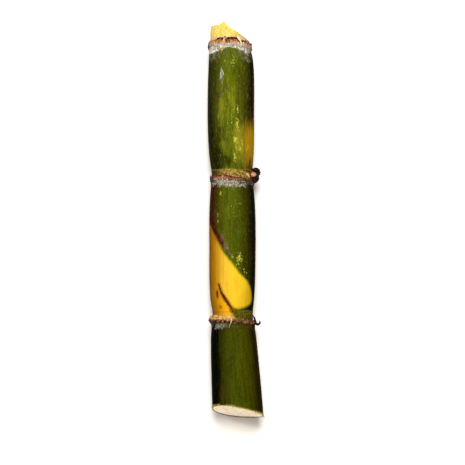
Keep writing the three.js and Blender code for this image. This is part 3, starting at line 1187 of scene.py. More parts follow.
@dataclass
class Cane:
    """The stem itself, from its knife cut to its snapped stub."""

    columns_above: int = 148
    columns_below: int = 52
    # Degrees round the cane between which its columns are close together
    lit: tuple[float, float] = (-6.0, 186.0)
    hollow_depth: float = 0.16
    rib_depth: float = 0.05
    wax_depth: float = 0.09
    lip_height: float = 0.25
    dot_height: float = 0.2
    dot_rows: tuple[float, ...] = (2.6, 4.3, 5.9)
    dots_around: int = 34
    cut_rings: int = 14
    break_rings: int = 16
    stub_rows: int = 26
    # Reach from a node in millimetres and row spacing there, then the spacing elsewhere and at the cut
    spacings: tuple[tuple[float, float], ...] = ((9, 0.42), (14, 0.62))
    plain_spacing: float = 0.98
    cut_reach: float = 4.0
    cut_spacing: float = 0.6
    ripe_patch: tuple[tuple[float, float], ...] = (
        (-140, 190), (-82, 163), (-64, 156.4), (-48, 149.6), (-35, 143.4), (-24, 136.9), (-9, 130.5),
        (4, 125.6), (20, 118.1), (33, 114.4), (45, 110.8), (54, 106.4), (62, 100.4), (65, 95.4),
        (57, 91.2), (37, 88.4), (16, 86.8), (2, 87.9), (-4, 89), (-6, 86.8), (4, 83.1), (10, 80.5),
        (14, 76), (-90, 76), (-140, 78),
    )
    amber_lobe: tuple[tuple[float, float], ...] = (
        (-90, 108), (-55, 104), (-34, 102), (-22, 95), (-12, 91), (-3, 86), (6, 82), (12, 76),
        (-90, 74),
    )
    bruise_line: tuple[tuple[float, float], ...] = (
        (-37, 108.5), (-29, 101.3), (-19, 96.1), (-12, 92.7), (-4, 89), (1, 85.2),
    )
    bruise_marks: tuple[tuple[tuple[float, float], ...], ...] = (
        ((-42, 102), (-42, 98)), ((-35, 89.7), (-35, 89.2)),
    )
    scuffs: tuple[tuple[tuple[float, float], ...], ...] = (
        ((18, 259), (17, 256), (19, 253)), ((12, 249), (20, 246), (15, 241), (21, 237)),
        ((17, 240), (14, 234)), ((6, 232), (14, 231), (18, 228), (11, 226)),
        ((8, 225), (14, 222), (21, 223)), ((6, 219), (9, 216), (5, 213), (11, 211)),
        ((27, 231), (29, 226)), ((-33, 187), (-31, 184.5)), ((-40, 168), (-39, 165)),
        ((22, 136), (19, 131), (25, 128)), ((12, 131), (15, 126), (10, 124)), ((30, 122), (33, 117)),
        ((6, 302), (8, 300)), ((-16, 298), (-15, 296.5)),
    )

    def rows(self) -> Array:
        """Places of the rows along the cane, closer together at its nodes.

        Returns:
            Millimetres along the cane, from its cut to its stub's foot.
        """
        start, places = 0.0, [0.0]
        while start < FORM.stub_foot:
            from_node = min(abs(start - node.scar - 1.5) for node in FORM.nodes)
            close = [step for reach, step in self.spacings if from_node < reach]
            step = close[0] if close else self.plain_spacing
            if start < self.cut_reach:
                step = self.cut_spacing
            start += step
            places.append(min(start, FORM.stub_foot))
        return np.array(places)

    def column_angles(self) -> Array:
        """Angles of the columns, closer together on the half that the light reaches.

        Returns:
            Degrees round the cane.
        """
        first, last = self.lit
        above = np.linspace(first, last, self.columns_above, endpoint=False)
        below = np.linspace(last, first + 360, self.columns_below, endpoint=False)
        return np.concatenate([above, below])

    def root_dots(self, angle: Array, s: Array) -> Array:
        """Rows of root dots in each root band.

        Args:
            angle: Degrees round the cane.
            s: Millimetres along it.

        Returns:
            Values from 0 to 1 at the middle of a dot.
        """
        total = np.zeros(np.shape(angle))
        for node in FORM.nodes[:2]:
            for k, above in enumerate(self.dot_rows):
                pitch = 360 / self.dots_around
                phase = np.mod(angle + k * pitch / 2 + 2.5 * np.sin(angle / 17 + k), pitch) - pitch / 2
                across = phase * math.radians(1) * node.waist
                up = s - (node.scar + above) + 0.5 * node.drop(angle)
                total = np.maximum(total, np.exp(-((across / 0.75) ** 2) - (up / 0.5) ** 2))
        return total

    def relief(self, angle: Array, s: Array) -> Array:
        """Fine unevenness of the skin over the CAD form.

        Args:
            angle: Degrees round the cane.
            s: Millimetres along it.

        Returns:
            Millimetres outwards.
        """
        broad = self.hollow_depth * Unevenness(1, 14, 38).at(angle, s)
        ribs = self.rib_depth * Unevenness(2, 2.2, 30).at(angle, s)
        below = np.min([np.abs(s - (node.scar - 3.5 - node.drop(angle))) for node in FORM.nodes], 0)
        clotted = self.wax_depth * Unevenness(3, 1.6, 1.8).at(angle, s) * ease(below, 5.5, 2.5)
        lip = sum(self.lip_height * bell(s - node.scar + node.drop(angle) + 0.2, 0.6) for node in FORM.nodes)
        lip = lip * (0.7 + 0.6 * Unevenness(4, 2.5, 3).at(angle, s))
        return broad + ribs + clotted + lip + self.dot_height * self.root_dots(angle, s)

    def marks(self, phi: Array, s: Array) -> dict[str, Array]:
        """The values that the rind's finish reads.

        Args:
            phi: Degrees from the top, right positive.
            s: Millimetres along the cane.

        Returns:
            Values by name.
        """
        angle = TOP - phi
        found = {name: np.max([one.at(phi, s) for one in ovals], 0) for name, ovals in STAINS.items()}
        # The ripe patch, the maroon strip along its upper edge, and the bruise and scuffs on it
        ripe = signed_outside(phi, s, self.ripe_patch)
        found["ripe"] = np.clip(ripe, -9, 9)
        strip = bell(ripe - 1.9, 2.5) * ease(s, 133, 146) * ease(s, 182, 166)
        found["maroon"] = np.maximum(found["maroon"], strip)
        width = 0.3 + 0.8 * bell(s - 96, 8)
        bruise = stroke_distance(phi, s, self.bruise_line) - width
        for mark, half in zip(self.bruise_marks, (0.7, 0.1)):
            bruise = np.minimum(bruise, stroke_distance(phi, s, mark) - half)
        found["bruise"] = np.minimum(bruise, 6)
        found["scuff"] = np.min([stroke_distance(phi, s, scuff) for scuff in self.scuffs], 0) + 0.12
        found["scuff"] = np.minimum(found["scuff"], 6)
        lobe = signed_outside(phi, s, self.amber_lobe)
        found["lobe"] = ease(lobe, 1.2, -1.2) * ease(s, 118, 92)
        # The dull film under the tip node, with a painted highlight streak where the glint lamp reflects on
        # the upper internode, the wear, and the grains that cling over the base collar
        film = 0.34 + 0.24 * bell(phi + 56, 34) + 0.26 * bell(phi - 42, 24)
        # Its second term is a painted highlight, where the glint lamp's reflection falls
        found["film"] = np.maximum(film * ease(s, 284, 306), 0.54 * bell(phi + 24, 10) * bell(s - 283, 17))
        worn = np.interp(s, (0, 70, 90, 180, 212, 310), (0.18, 0.25, 0.5, 0.6, 1.0, 1.0))
        found["worn"] = worn * ease(np.abs(phi), 72, 44)
        found["grains"] = 0.62 * ease(s, 88.5, 81.5) * ease(phi, 12, -8)
        # The red-brown ring round the middle bud
        bud = stroke_distance(phi, s, ((75, 202), (75, 202.5)))
        found["halo"] = np.where(phi < 78, np.abs(bud - 4.2) - 1.8, 5)
        found["side"] = phi / TOP
        wax, scar, ring = np.zeros(s.shape), np.full(s.shape, 9.0), np.full(s.shape, 9.0)
        band = np.full(s.shape, 9.0)
        white = np.zeros(s.shape)
        # Amount of wax, where it is thickest and how far it spreads, least amount, whiteness, reach
        amounts = (
            (0.78, -38, 32, 0.2, 0.14, 10.5), (0.86, -10, 38, 0.4, 0.42, 11.4),
            (1.0, -56, 50, 0.93, 1.0, 9.6),
        )
        for node, (amount, middle, spread, least, pale, reach) in zip(FORM.nodes, amounts):
            place = s - node.scar + node.drop(angle) * bell(s - node.scar, 7)
            share = least + (amount - least) * bell(phi - middle, spread)
            if node is TIP_NODE:
                reach = reach + 3.4 * bell(phi + 62, 34) + 3 * bell(phi - 52, 26) - 1.3 * bell(phi + 6, 10)
            wax = np.maximum(wax, share * ease(place, -reach, 6 - reach) * (place < 0.4))
            # Painted shade: each node's wax is drawn duller towards the right flank, from 36 to 64 degrees
            pale = pale * (1 - 0.6 * ease(phi, 36, 64))
            white = np.maximum(white, pale * (np.abs(place + 5) < 20))
            scar = np.minimum(scar, np.abs(place - 0.7))
            ring = np.minimum(ring, np.abs(s - node.scar - node.root_band + 0.3 * np.sin(angle / 9)))
            band = np.minimum(band, np.abs(place - 0.5 * node.root_band) - 0.5 * node.root_band)
        drips = 0.52 * ease(s, 289, 306) * bell(phi - 50, 16) + 0.5 * ease(s, 295, 307) * bell(phi + 55, 24)
        found["wax"] = np.maximum(wax, np.where(s < TIP_NODE.scar, drips, 0))
        found["white"] = white
        found["scar"], found["ring"], found["band"] = scar, ring, band
        found["band_share"] = np.where(s > 150, 0.92, 0.55 * ease(phi, 4, 14))
        found["ring_share"] = np.where(s > 150, 0.6, 0.5 * ease(phi, 4, 20))
        found["dots"] = self.root_dots(angle, s) * np.where(s > 150, 1 - 0.8 * ease(phi, -18, -50), 0.5)
        found["rim"] = ease(np.abs(phi), 100, 60)
        return found

    def build(self) -> None:
        """Builds the cane with its skin, cut face and stub."""
        draft = Draft()
        angle = self.column_angles()
        s = self.rows()[:, None] + 0 * angle[None]
        angle = angle[None] + 0 * s
        r = FORM.radius(angle, s) + self.relief(angle, s)
        turned = np.radians(angle)
        x, z = r * np.cos(turned), r * np.sin(turned)
        side, height = FORM.line(s)
        skin = np.stack([side + x - ORIGIN_SIDE, s + FORM.cut_shift(x, z, s) - ORIGIN_ALONG, height + z], -1)
        phi = turn(TOP - angle, 0)
        marks = self.marks(phi, s)
        marks["skin"] = FORM.laid_flat(angle, s)
        self.add_cut_face(draft, skin[0], turned[0], r[0])
        draft.add_tube(skin, marks, 0, closed_start=False, closed_end=False)
        self.add_stub(draft, angle[-1], r[-1])
        finishes = [WaxyRind().make(), KnifeCutPith().make(), SnappedSoftTissue().make()]
        draft.build("cane_stem", finishes, "cane_rind", ["cane"], 40)

    def add_cut_face(self, draft: Draft, rim: Array, turned: Array, r: Array) -> None:
        """Adds the knife-cut face, slightly hollow and scored by the blade.

        Args:
            draft: Where it goes.
            rim: Points of the cane's first row.
            turned: Their angles in radians.
            r: Their radii.
        """
        middle = rim.mean(0)
        fills = np.concatenate([np.linspace(0.06, 0.94, self.cut_rings), [0.965, 0.985, 1.0]])[:, None]
        grid = middle + (rim - middle)[None] * fills[..., None]
        x, z = r * fills * np.cos(turned), r * fills * np.sin(turned)
        scored = 0.1 * np.sin(1.5 * z + 0.25 * x) + 0.12 * np.sin(0.33 * z + 1)
        hollow = 0.5 * (1 - fills**2)
        grid[..., 1] += (scored + hollow) * ease(fills, 1.0, 0.93)
        flat = np.stack([x, z, 0 * x], -1)
        values = {"skin": flat, "face": fills + 0.07 * ease(z, 2, -16), "height": 0.5 + z / 42}
        draft.add_tube(grid, values, 1, closed_start=True, closed_end=False)

    def add_stub(self, draft: Draft, angle: Array, r: Array) -> None:
        """Adds the stub's side and its snapped, splintered face.

        Args:
            draft: Where it goes.
            angle: Degrees round the cane of its columns.
            r: Radii of the row that it stands on.
        """
        rise = np.concatenate([np.linspace(0, 1, self.stub_rows), np.ones(self.break_rings)])[:, None]
        fill = np.concatenate([np.ones(self.stub_rows), np.linspace(0.95, 0.05, self.break_rings)])[:, None]
        on_side = fill > 0.99
        turned = np.radians(angle)[None]
        lumps = Unevenness(11, 1.9, 1.7).at(angle[None], LINE_END - 14 * (1 - rise))
        edge = ease(rise, 0.0, 0.12) * ease(rise, 1.001, 0.9)
        radius = r[None] * fill + (0.22 * lumps * edge - 0.5 * ease(rise, 0.75, 1.0)) * on_side
        x, z = radius * np.cos(turned), radius * np.sin(turned)
        top = FORM.break_height(x, z)
        fray = 0.35 * Unevenness(12, 0.9, 40, Edge.SHARP).at(angle[None] + 0 * rise, LINE_END + 0 * top)
        spikes = 0.9 * Unevenness(13, 1.6, 1.6, Edge.SHARP).at(3.1 * x, z + 40)
        top = np.maximum(top + fray * (fill > 0.9) + spikes * (fill < 0.97), FORM.stub_foot + 0.3)
        s = FORM.stub_foot + (top - FORM.stub_foot) * rise
        side, height = FORM.line(np.minimum(s, LINE_END))
        grid = np.stack([side + x - ORIGIN_SIDE, s - ORIGIN_ALONG, height + z], -1)
        phi = turn(TOP - angle, 0)[None] + 0 * rise
        slope = ease(phi, 8, 30)
        from_edge = top - s
        shrink = np.where(on_side, 1, 0.5 + 0.5 * fill)
        values = {
            "skin": FORM.laid_flat(angle[None] + 0 * rise, s) * shrink[..., None],
            "foot": ease(s, 320.5, 317.5) * 0.75,
            # Painted shadow in the slit at the stub's foot, under the tip collar
            "slit": ease(s, 318.7, 317.5) * np.maximum(bell(phi + 31, 13), bell(phi - 8, 24)),
            "flame": 0.75 * bell(phi + 30, 14) * bell(s - 322.5, 2.2) + 0.6 * ease(phi, 4, 30),
            "skin_edge": slope * ease(from_edge, 1.6, 0.5) * (fill > 0.9),
            "torn": np.where(on_side, ease(from_edge, 1.0, 0.0) * 0.6, 1.0) + 0 * phi,
        }
        draft.add_tube(grid, values, 2, closed_start=False, closed_end=True)


@dataclass(frozen=True)
class FlakeCrop:
    """Loose flakes on a collar: how many, where, how big and which way they point.

    phi is the range in degrees from the top; at is the range of their feet, as a share of the collar's
    height; length and width are their least and greatest sizes in millimetres; lift is how far their
    tips stand off; down is the share of them that hang towards the base; point is how suddenly they
    narrow, which is high for blunt ones.
    """

    count: int
    phi: tuple[float, float]
    at: tuple[float, float]
    length: tuple[float, float]
    width: tuple[float, float]
    lift: tuple[float, float]
    down: float = 1.0
    point: float = 1.7


@dataclass
class SheathCollar:
    """A ragged dry ring of leaf sheath round one node, with its loose flakes."""

    name: str
    node: NodeShape
    start: float
    end: float
    slant: float
    thickness: float
    flare: float
    lower_teeth: float
    upper_teeth: float
    finish: DrySheath
    crops: tuple[FlakeCrop, ...]
    seed: int
    columns: int = 432
    steps: int = 9
    flare_angle: float = 168.0
    worn_right: float = 0.0

    def edges(self, angle: Array) -> tuple[Array, Array]:
        """Where the collar's torn edges lie.

        Args:
            angle: Degrees round the cane.

        Returns:
            Lower and upper edge in millimetres along the cane.
        """
        scar = self.node.scar - self.node.drop(angle)
        away = 0.5 - 0.5 * np.cos(np.radians(angle - self.flare_angle))
        saw = Unevenness(self.seed, 2.6, UNBROKEN, Edge.SHARP).at(angle, 0 * angle)
        fine = Unevenness(self.seed + 1, 1.1, UNBROKEN, Edge.SHARP).at(angle, 0 * angle)
        other = Unevenness(self.seed + 2, 3.4, UNBROKEN, Edge.SHARP).at(angle, 0 * angle)
        worn = self.worn_right * ease(turn(TOP - angle, 0), 12, 48)
        low = scar + self.start + worn + self.lower_teeth * (saw + 0.4 * fine)
        high = scar + self.end - self.slant * away + self.upper_teeth * (other + 0.5 * fine)
        return low, np.maximum(high, low + 1.2)

    def seat(self, angle: Array, s: Array) -> Array:
        """Radius of the cane under the collar, which keeps its shoulder's above the scar.

        Args:
            angle: Degrees round the cane.
            s: Millimetres along it.

        Returns:
            Millimetres from the cane's line.
        """
        return FORM.radius(angle, np.minimum(s, self.node.scar - self.node.drop(angle) - 0.3))

    def outer(self, angle: Array, s: Array, up: Array) -> Array:
        """Radius of the collar's outer side.

        Args:
            angle: Degrees round the cane.
            s: Millimetres along it.
            up: Share of the collar's height, from its lower to its upper edge.

        Returns:
            Millimetres from the cane's line.
        """
        facing = np.maximum(0, np.cos(np.radians(angle - self.flare_angle))) ** 2
        wrinkle = 0.28 * Unevenness(self.seed + 3, 1.4, 1.6).at(angle, s)
        curl = 0.35 * Unevenness(self.seed + 4, 4.5, UNBROKEN).at(angle, 0 * s)
        lean = self.flare * facing * (0.35 + 0.65 * np.sin(math.pi * np.clip(up * 1.15, 0, 1)))
        full = self.thickness * (0.45 + 0.55 * np.sin(math.pi * up)) + lean + wrinkle * (0.4 + 0.6 * up)
        return self.seat(angle, s) + 0.25 + full + curl * (2 * np.abs(up - 0.5)) ** 2

    def values(self, angle: Array, s: Array, up: Array, hollow: Array, tone: Array) -> dict[str, Array]:
        """The values that the collar's finish reads.

        Args:
            angle: Degrees round the cane.
            s: Millimetres along it.
            up: Share of the height.
            hollow: 1 on the inner side, which its finish paints as shade.
            tone: Own tone of a flake, from 0 to 1; a half on the ring itself.

        Returns:
            Values by name.
        """
        skin = FORM.laid_flat(angle, s)
        return {"up": up, "side": turn(TOP - angle, 0) / TOP, "hollow": hollow, "tone": tone, "skin": skin}

    def build(self) -> None:
        """Builds the collar as one closed ring with its flakes."""
        angle = np.arange(self.columns) * 360.0 / self.columns
        low, high = self.edges(angle)
        up = np.linspace(0, 1, self.steps)[:, None] + 0 * angle
        s = low + (high - low) * up
        turned = angle + 0 * s
        outer = self.outer(turned, s, up)
        base_radius = outer - self.thickness * 0.5 - 0.4
        wall = 0.5 + 0.35 * self.thickness * np.sin(math.pi * up)
        under = self.seat(turned, s)
        inner = np.minimum(np.maximum(outer - wall, under), base_radius + 0.5)
        inner = np.where(up < 0.3, under - 0.4, inner)
        loop_s, loop_r = np.concatenate([s, s[::-1]]), np.concatenate([outer, inner[::-1]])
        loop_angle = np.concatenate([turned, turned])
        # Painted shade: the inner side is marked hollow for its finish's dark colour
        hollow = np.concatenate([0.25 * ease(up, 0.12, 0.0), 1 + 0 * s])
        values = self.values(loop_angle, loop_s, np.concatenate([up, up[::-1]]), hollow, 0.5 + 0 * loop_s)
        grid = FORM.round_line(loop_angle, loop_s, loop_r)
        draft = Draft()
        # Each column of the loop is a row of the tube, so the ring closes on itself
        across = {key: np.swapaxes(value, 0, 1)[:, ::-1] for key, value in values.items()}
        draft.add_tube(np.swapaxes(grid, 0, 1)[:, ::-1], across, 0, ring=True)
        random = np.random.default_rng(self.seed + 5)
        for crop in self.crops:
            for _ in range(crop.count):
                self.add_flake(draft, crop, random)
        draft.build(self.name, [self.finish.make()], "dry_sheath", [self.name.replace("torn_", "")], 40)

    def add_flake(self, draft: Draft, crop: FlakeCrop, random: np.random.Generator) -> None:
        """Adds one thin, curled, pointed flake whose foot is sunk in the ring.

        Args:
            draft: Where it goes.
            crop: What kind of flake.
            random: Seeded random numbers.
        """
        middle = TOP - random.uniform(*crop.phi)
        share = random.uniform(*crop.at)
        length, width, lift = (random.uniform(*span) for span in (crop.length, crop.width, crop.lift))
        way = -1 if random.random() < crop.down else 1
        slew, jag, tone = random.normal(0, 0.35), random.uniform(0.5, 1.6), random.uniform(0, 1)
        low, high = (float(edge) for edge in self.edges(np.array(middle)))
        v = np.linspace(0, 1, 7)[:, None]
        u = np.linspace(-1, 1, 6)[None]
        half = 0.5 * width * (1 - v**crop.point) * (1 + 0.25 * np.sin(jag * 7 * v + u))
        s = low + share * (high - low) + way * v * length * (1 + 0.25 * u * slew)
        across = half * u + slew * v * length * 0.4
        angle = middle + across / (MEAN_RADIUS * math.radians(1))
        up = np.clip((s - low) / (high - low), 0, 1)
        cup = 0.25 * width * (1 - u * u) * (1 - v)
        top = self.outer(angle, np.clip(s, low, high), up) + lift * v**1.5 + 0.3 * cup - 0.15 + 0.1 * v
        floor_radius = FORM.radius(angle, np.minimum(s, self.node.scar - 1))
        top = np.maximum(top, floor_radius + 0.35)
        thin = 0.32 * (1 - 0.5 * v) + 0 * u
        loop_r = np.concatenate([top, (top - thin)[:, ::-1]], 1)
        loop_s = np.concatenate([s + 0 * u, (s + 0 * u)[:, ::-1]], 1)
        loop_angle = np.concatenate([angle, angle[:, ::-1]], 1)
        grid = FORM.round_line(loop_angle, loop_s, loop_r)
        # The flake's underside is marked hollow, which its finish paints as shade
        below = np.concatenate([0 * top, 0.8 + 0 * top], 1)
        up_loop = np.concatenate([up, up[:, ::-1]], 1)
        values = self.values(loop_angle, loop_s, up_loop, below, tone + 0 * loop_s)
        if way < 0:
            grid, values = grid[:, ::-1], {key: value[:, ::-1] for key, value in values.items()}
        draft.add_tube(grid[:, ::-1], {key: value[:, ::-1] for key, value in values.items()})


@dataclass
class Strand:
    """A tapered, slightly flat fibre along points given as degrees round, millimetres along and over."""

    route: tuple[tuple[float, float, float], ...]
    widths: tuple[float, ...]
    flat: float
    seed: int
    twist: float = 0.0
    sides: int = 10
    steps: int = 44

    def path(self) -> Array:
        """Smooth points along the route.

        Returns:
            Points in millimetres.
        """
        knots = np.array(self.route, float)
        points = FORM.on_skin(knots[:, 0], knots[:, 1], knots[:, 2])
        padded = np.concatenate([2 * points[:1] - points[1:2], points, 2 * points[-1:] - points[-2:-1]])
        found = []
        for t in np.linspace(0, len(points) - 1 - 1e-6, self.steps):
            i, f = int(t), t - int(t)
            a, b, c, d = padded[i : i + 4]
            bent = 2 * b + (c - a) * f + (2 * a - 5 * b + 4 * c - d) * f**2 + (3 * b - a - 3 * c + d) * f**3
            found.append(0.5 * bent)
        return np.array(found)

    def add_to(self, draft: Draft) -> None:
        """Adds the strand to a piece.

        Args:
            draft: Where it goes.
        """
        path = self.path()
        share = np.linspace(0, 1, self.steps)
        random = np.random.default_rng(self.seed)
        kink = np.cumsum(random.normal(0, 0.05, (self.steps, 3)), 0)
        path = path + (kink - np.outer(share, kink[-1])) * 0.6
        width = np.interp(share, np.linspace(0, 1, len(self.widths)), self.widths)
        width = width * (1 + 0.18 * np.interp(share, np.linspace(0, 1, 12), random.uniform(-1, 1, 12)))
        tangent = np.gradient(path, axis=0)
        tangent /= np.linalg.norm(tangent, axis=1)[:, None]
        side = np.cross(tangent, (0.0, 0.0, 1.0))
        side /= np.maximum(np.linalg.norm(side, axis=1)[:, None], 1e-6)
        up = np.cross(side, tangent)
        around = np.arange(self.sides) * 2 * math.pi / self.sides
        roll = self.twist * share[:, None]
        a = np.cos(around)[None] * width[:, None]
        b = np.sin(around)[None] * width[:, None] * self.flat
        u, v = a * np.cos(roll) - b * np.sin(roll), a * np.sin(roll) + b * np.cos(roll)
        grid = path[:, None] + side[:, None] * u[..., None] + up[:, None] * v[..., None]
        values = {"up": share[:, None] + 0 * a, "rim": 0 * a, "skin": grid}
        draft.add_tube(grid, values)


@dataclass
class LooseFibres:
    """One loose piece of fibre, made of one or more strands."""

    name: str
    strands: tuple[Strand, ...]
    finish: StrawFibre | Scale
    slot: str
    replaces: tuple[str, ...] = ()

    def build(self) -> None:
        """Builds the strands as one piece."""
        draft = Draft()
        for strand in self.strands:
            strand.add_to(draft)
        draft.build(self.name, [self.finish.make()], self.slot, self.replaces)


@dataclass
class BudPad:
    """A bud pressed to the cane: overlapping scales that narrow to its tip."""

    name: str
    angle: float
    s: float
    half_width: float
    half_length: float
    height: float
    scales: int
    finish: Scale
    slot: str
    replaces: tuple[str, ...]
    rows: int = 60
    columns: int = 72

    def build(self) -> None:
        """Builds the bud."""
        polar = np.linspace(0.02, math.pi - 0.02, self.rows)[:, None]
        around = (np.arange(self.columns) * 2 * math.pi / self.columns)[None]
        y = np.cos(polar) + 0 * around
        x = np.sin(polar) * np.sin(around)
        z = np.sin(polar) * np.cos(around)
        taper = 1 - 0.28 * y
        # Scale edges curve down at both sides, each a small step over the one under it
        arc = (y + 0.45 * x * x) * self.scales / 2
        step = arc - np.floor(arc)
        ridge = 0.07 * self.height * (1 - step) * np.maximum(z, 0)
        crest = 0.12 * bell(x, 0.22) * np.maximum(z, 0)
        across = x * self.half_width * taper / (MIDDLE_NODE.waist * math.radians(1))
        over = 0.1 + np.where(z > 0, z, 0.3 * z) * self.height * (1 + crest) + ridge
        grid = FORM.on_skin(self.angle + across, self.s + y * self.half_length, over)
        values = {
            # rim darkens each scale's edge, its own colour, and the dome's lower sides, partly its own
            # red-brown and partly painted shade
            "rim": ease(step, 0.25, 0.0) * 0.6 + 0.65 * ease(np.maximum(z, 0), 0.45, 0.1),
            "up": (y + 1) / 2,
            "skin": grid,
        }
        draft = Draft()
        draft.add_tube(grid[::-1], {k: v[::-1] for k, v in values.items()})
        draft.build(self.name, [self.finish.make()], self.slot, self.replaces, 30)


@dataclass
class BudHood:
    """The shrivelled outer scale that cups the middle bud, open towards its tip side, with a ragged rim."""

    angle: float = 5.0
    s: float = 202.3
    foot: float = 0.6
    out: float = 6.3
    along: float = 5.2
    across: float = 4.9
    wall: float = 1.2
    lean: float = 48.0
    columns: int = 64
    rows: int = 26
    seed: int = 7
    # Its crown, its tail, the web between tail and cane, and its hook
    trimmings: tuple[Strand, ...] = (
        Strand(((21, 205.6, 1.2), (17, 206.3, 2.8), (12, 206.3, 4.6), (7, 205.0, 6.0)),
               (0.8, 1.5, 1.7, 1.2), 0.8, 3, sides=14),
        Strand(((3, 199.0, 4.8), (1, 197.4, 3.6), (0, 196.2, 2.4), (0, 195.2, 1.2)),
               (1.2, 1.1, 0.8, 0.25), 0.7, 4, sides=12),
        Strand(((16, 199.4, 0.9), (10, 197.9, 1.3), (5, 196.9, 1.6), (1, 196.4, 1.6)),
               (1.2, 1.7, 1.7, 1.0), 0.7, 6, sides=12),
        Strand(((7, 203.6, 5.8), (7, 203.9, 7.0), (8, 204.6, 7.8)), (1.2, 0.6, 0.12), 0.8, 5),
    )

    def build(self) -> None:
        """Builds the hood, with its trimmings, as one piece."""
        centre = FORM.on_skin(self.angle, self.s, self.foot)
        turned = math.radians(self.angle)
        outward = np.array([math.cos(turned), 0.0, math.sin(turned)])
        along = np.array([0.0, 1.0, 0.0])
        across = np.cross(along, outward)
        tilt = math.radians(self.lean)
        # The cup's axis runs from its rim, which looks up over the bud, to its back
        back = outward * math.cos(tilt) + across * math.sin(tilt)
        over = np.cross(back, along)
        around = (np.arange(self.columns) * 2 * math.pi / self.columns)[None]
        random = np.random.default_rng(self.seed)
        whole = 2 * math.pi
        teeth = np.interp(np.mod(around, whole), np.linspace(0, whole, 24), random.uniform(-1, 1, 24))
        reach = math.radians(88) + 0.16 * teeth + 0.3 * np.maximum(0, np.cos(around - 0.3)) ** 6
        v = np.linspace(0, 1, self.rows)[:, None]
        polar = v * reach
        folds = 1 + 0.09 * np.sin(5 * around + 2.4 * polar) + 0.06 * np.sin(11 * around - 5 * polar)
        folds = folds * (1 + 0.07 * np.sin(7 * polar + 3 * around))
        shells = []
        for thinner in (0.0, self.wall):
            reach_back = (self.out - thinner) * np.cos(polar) * folds
            side = np.sin(polar) * folds
            u = (self.along - thinner) * side * np.cos(around)
            w = (self.across - thinner) * side * np.sin(around)
            shells.append(
                centre
                + back * reach_back[..., None]
                + along * u[..., None]
                + over * w[..., None]
            )
        outer, inner = shells
        grid = np.concatenate([outer[1:], inner[:0:-1]])
        rim = np.concatenate([ease(v, 0.8, 1.0)[1:], ease(v, 0.8, 1.0)[:0:-1]]) + 0 * grid[..., 0]
        values = {"up": 0 * rim, "rim": rim * 0.7, "skin": grid}
        draft = Draft()
        draft.add_tube(grid, values)
        for strand in self.trimmings:
            strand.add_to(draft)
        finish = Scale("bud_scale_blackened", "0c0706", "1a0f0b", "33201a", 0.7, 0.12, "3a2418")
        draft.build("bud_scale_shrivelled", [finish.make()], "dark_scale", ["bud_scale_middle_node"], 35)


@dataclass
class CutFray:
    """Torn slivers of rind left by the knife along the upper edge of the cut."""

    count: int = 110
    phi: tuple[float, float] = (-86.0, 92.0)
    length: tuple[float, float] = (0.5, 1.9)
    width: tuple[float, float] = (0.14, 0.34)
    seed: int = 71

    def build(self) -> None:
        """Builds all slivers as one piece."""
        random = np.random.default_rng(self.seed)
        draft = Draft()
        for _ in range(self.count):
            phi = self.phi[1] - (self.phi[1] - self.phi[0]) * random.uniform() ** 1.5
            length, width = random.uniform(*self.length), random.uniform(*self.width)
            angle = TOP - phi + np.array([0, 0.4, random.normal(0, 2.2)])
            s = np.array([1.6, 0.2, -length * (1.3 if phi > 40 else 0.7)])
            over = np.array([-0.15, 0.1, random.uniform(0.0, 0.7)])
            r = FORM.radius(angle, s) + over
            turned = np.radians(angle)
            x, z = r * np.cos(turned), r * np.sin(turned)
            path = FORM.round_line(angle, s + FORM.cut_shift(x, z, np.zeros(3)), r)
            share = np.linspace(0, 1, 6)[:, None]
            middle = (1 - share) ** 2 * path[0] + 2 * share * (1 - share) * path[1] + share**2 * path[2]
            around = np.arange(6) * math.pi / 3
            half = width * (1 - 0.9 * share**1.5)
            outward = np.array([math.cos(turned[0]), 0, math.sin(turned[0])])
            beside = np.array([-outward[2], 0, outward[0]])
            grid = (
                middle[:, None]
                + beside * (half * np.cos(around))[..., None]
                + outward * (0.5 * half * np.sin(around))[..., None]
            )
            tone = random.uniform(0, 1) + 0 * grid[..., 0]
            draft.add_tube(grid, {"up": tone, "rim": 0 * tone, "skin": grid})
        finish = StrawFibre("rind_slivers_torn", "c8b446", "5f6414")
        draft.build("cut_edge_slivers", [finish.make()], "pale_fibre")


@dataclass(frozen=True)
class SoftLight:
    """A soft studio light: where it stands, its size in metres and its power in watts."""

    name: str
    place: tuple[float, float, float]
    size: float
    power: float
    tint: str

    def add(self) -> None:
        """Adds the light, turned to the middle of the cane."""
        data = bpy.data.lights.new(self.name, "AREA")
        data.shape = "DISK"
        data.size = self.size
        data.energy = self.power
        data.color = linear(self.tint, 1.0)[:3]
        lamp = bpy.data.objects.new(self.name, data)
        lamp.location = self.place
        lamp.rotation_euler = (-Vector(self.place)).to_track_quat("-Z", "Y").to_euler()
        bpy.context.scene.collection.objects.link(lamp)


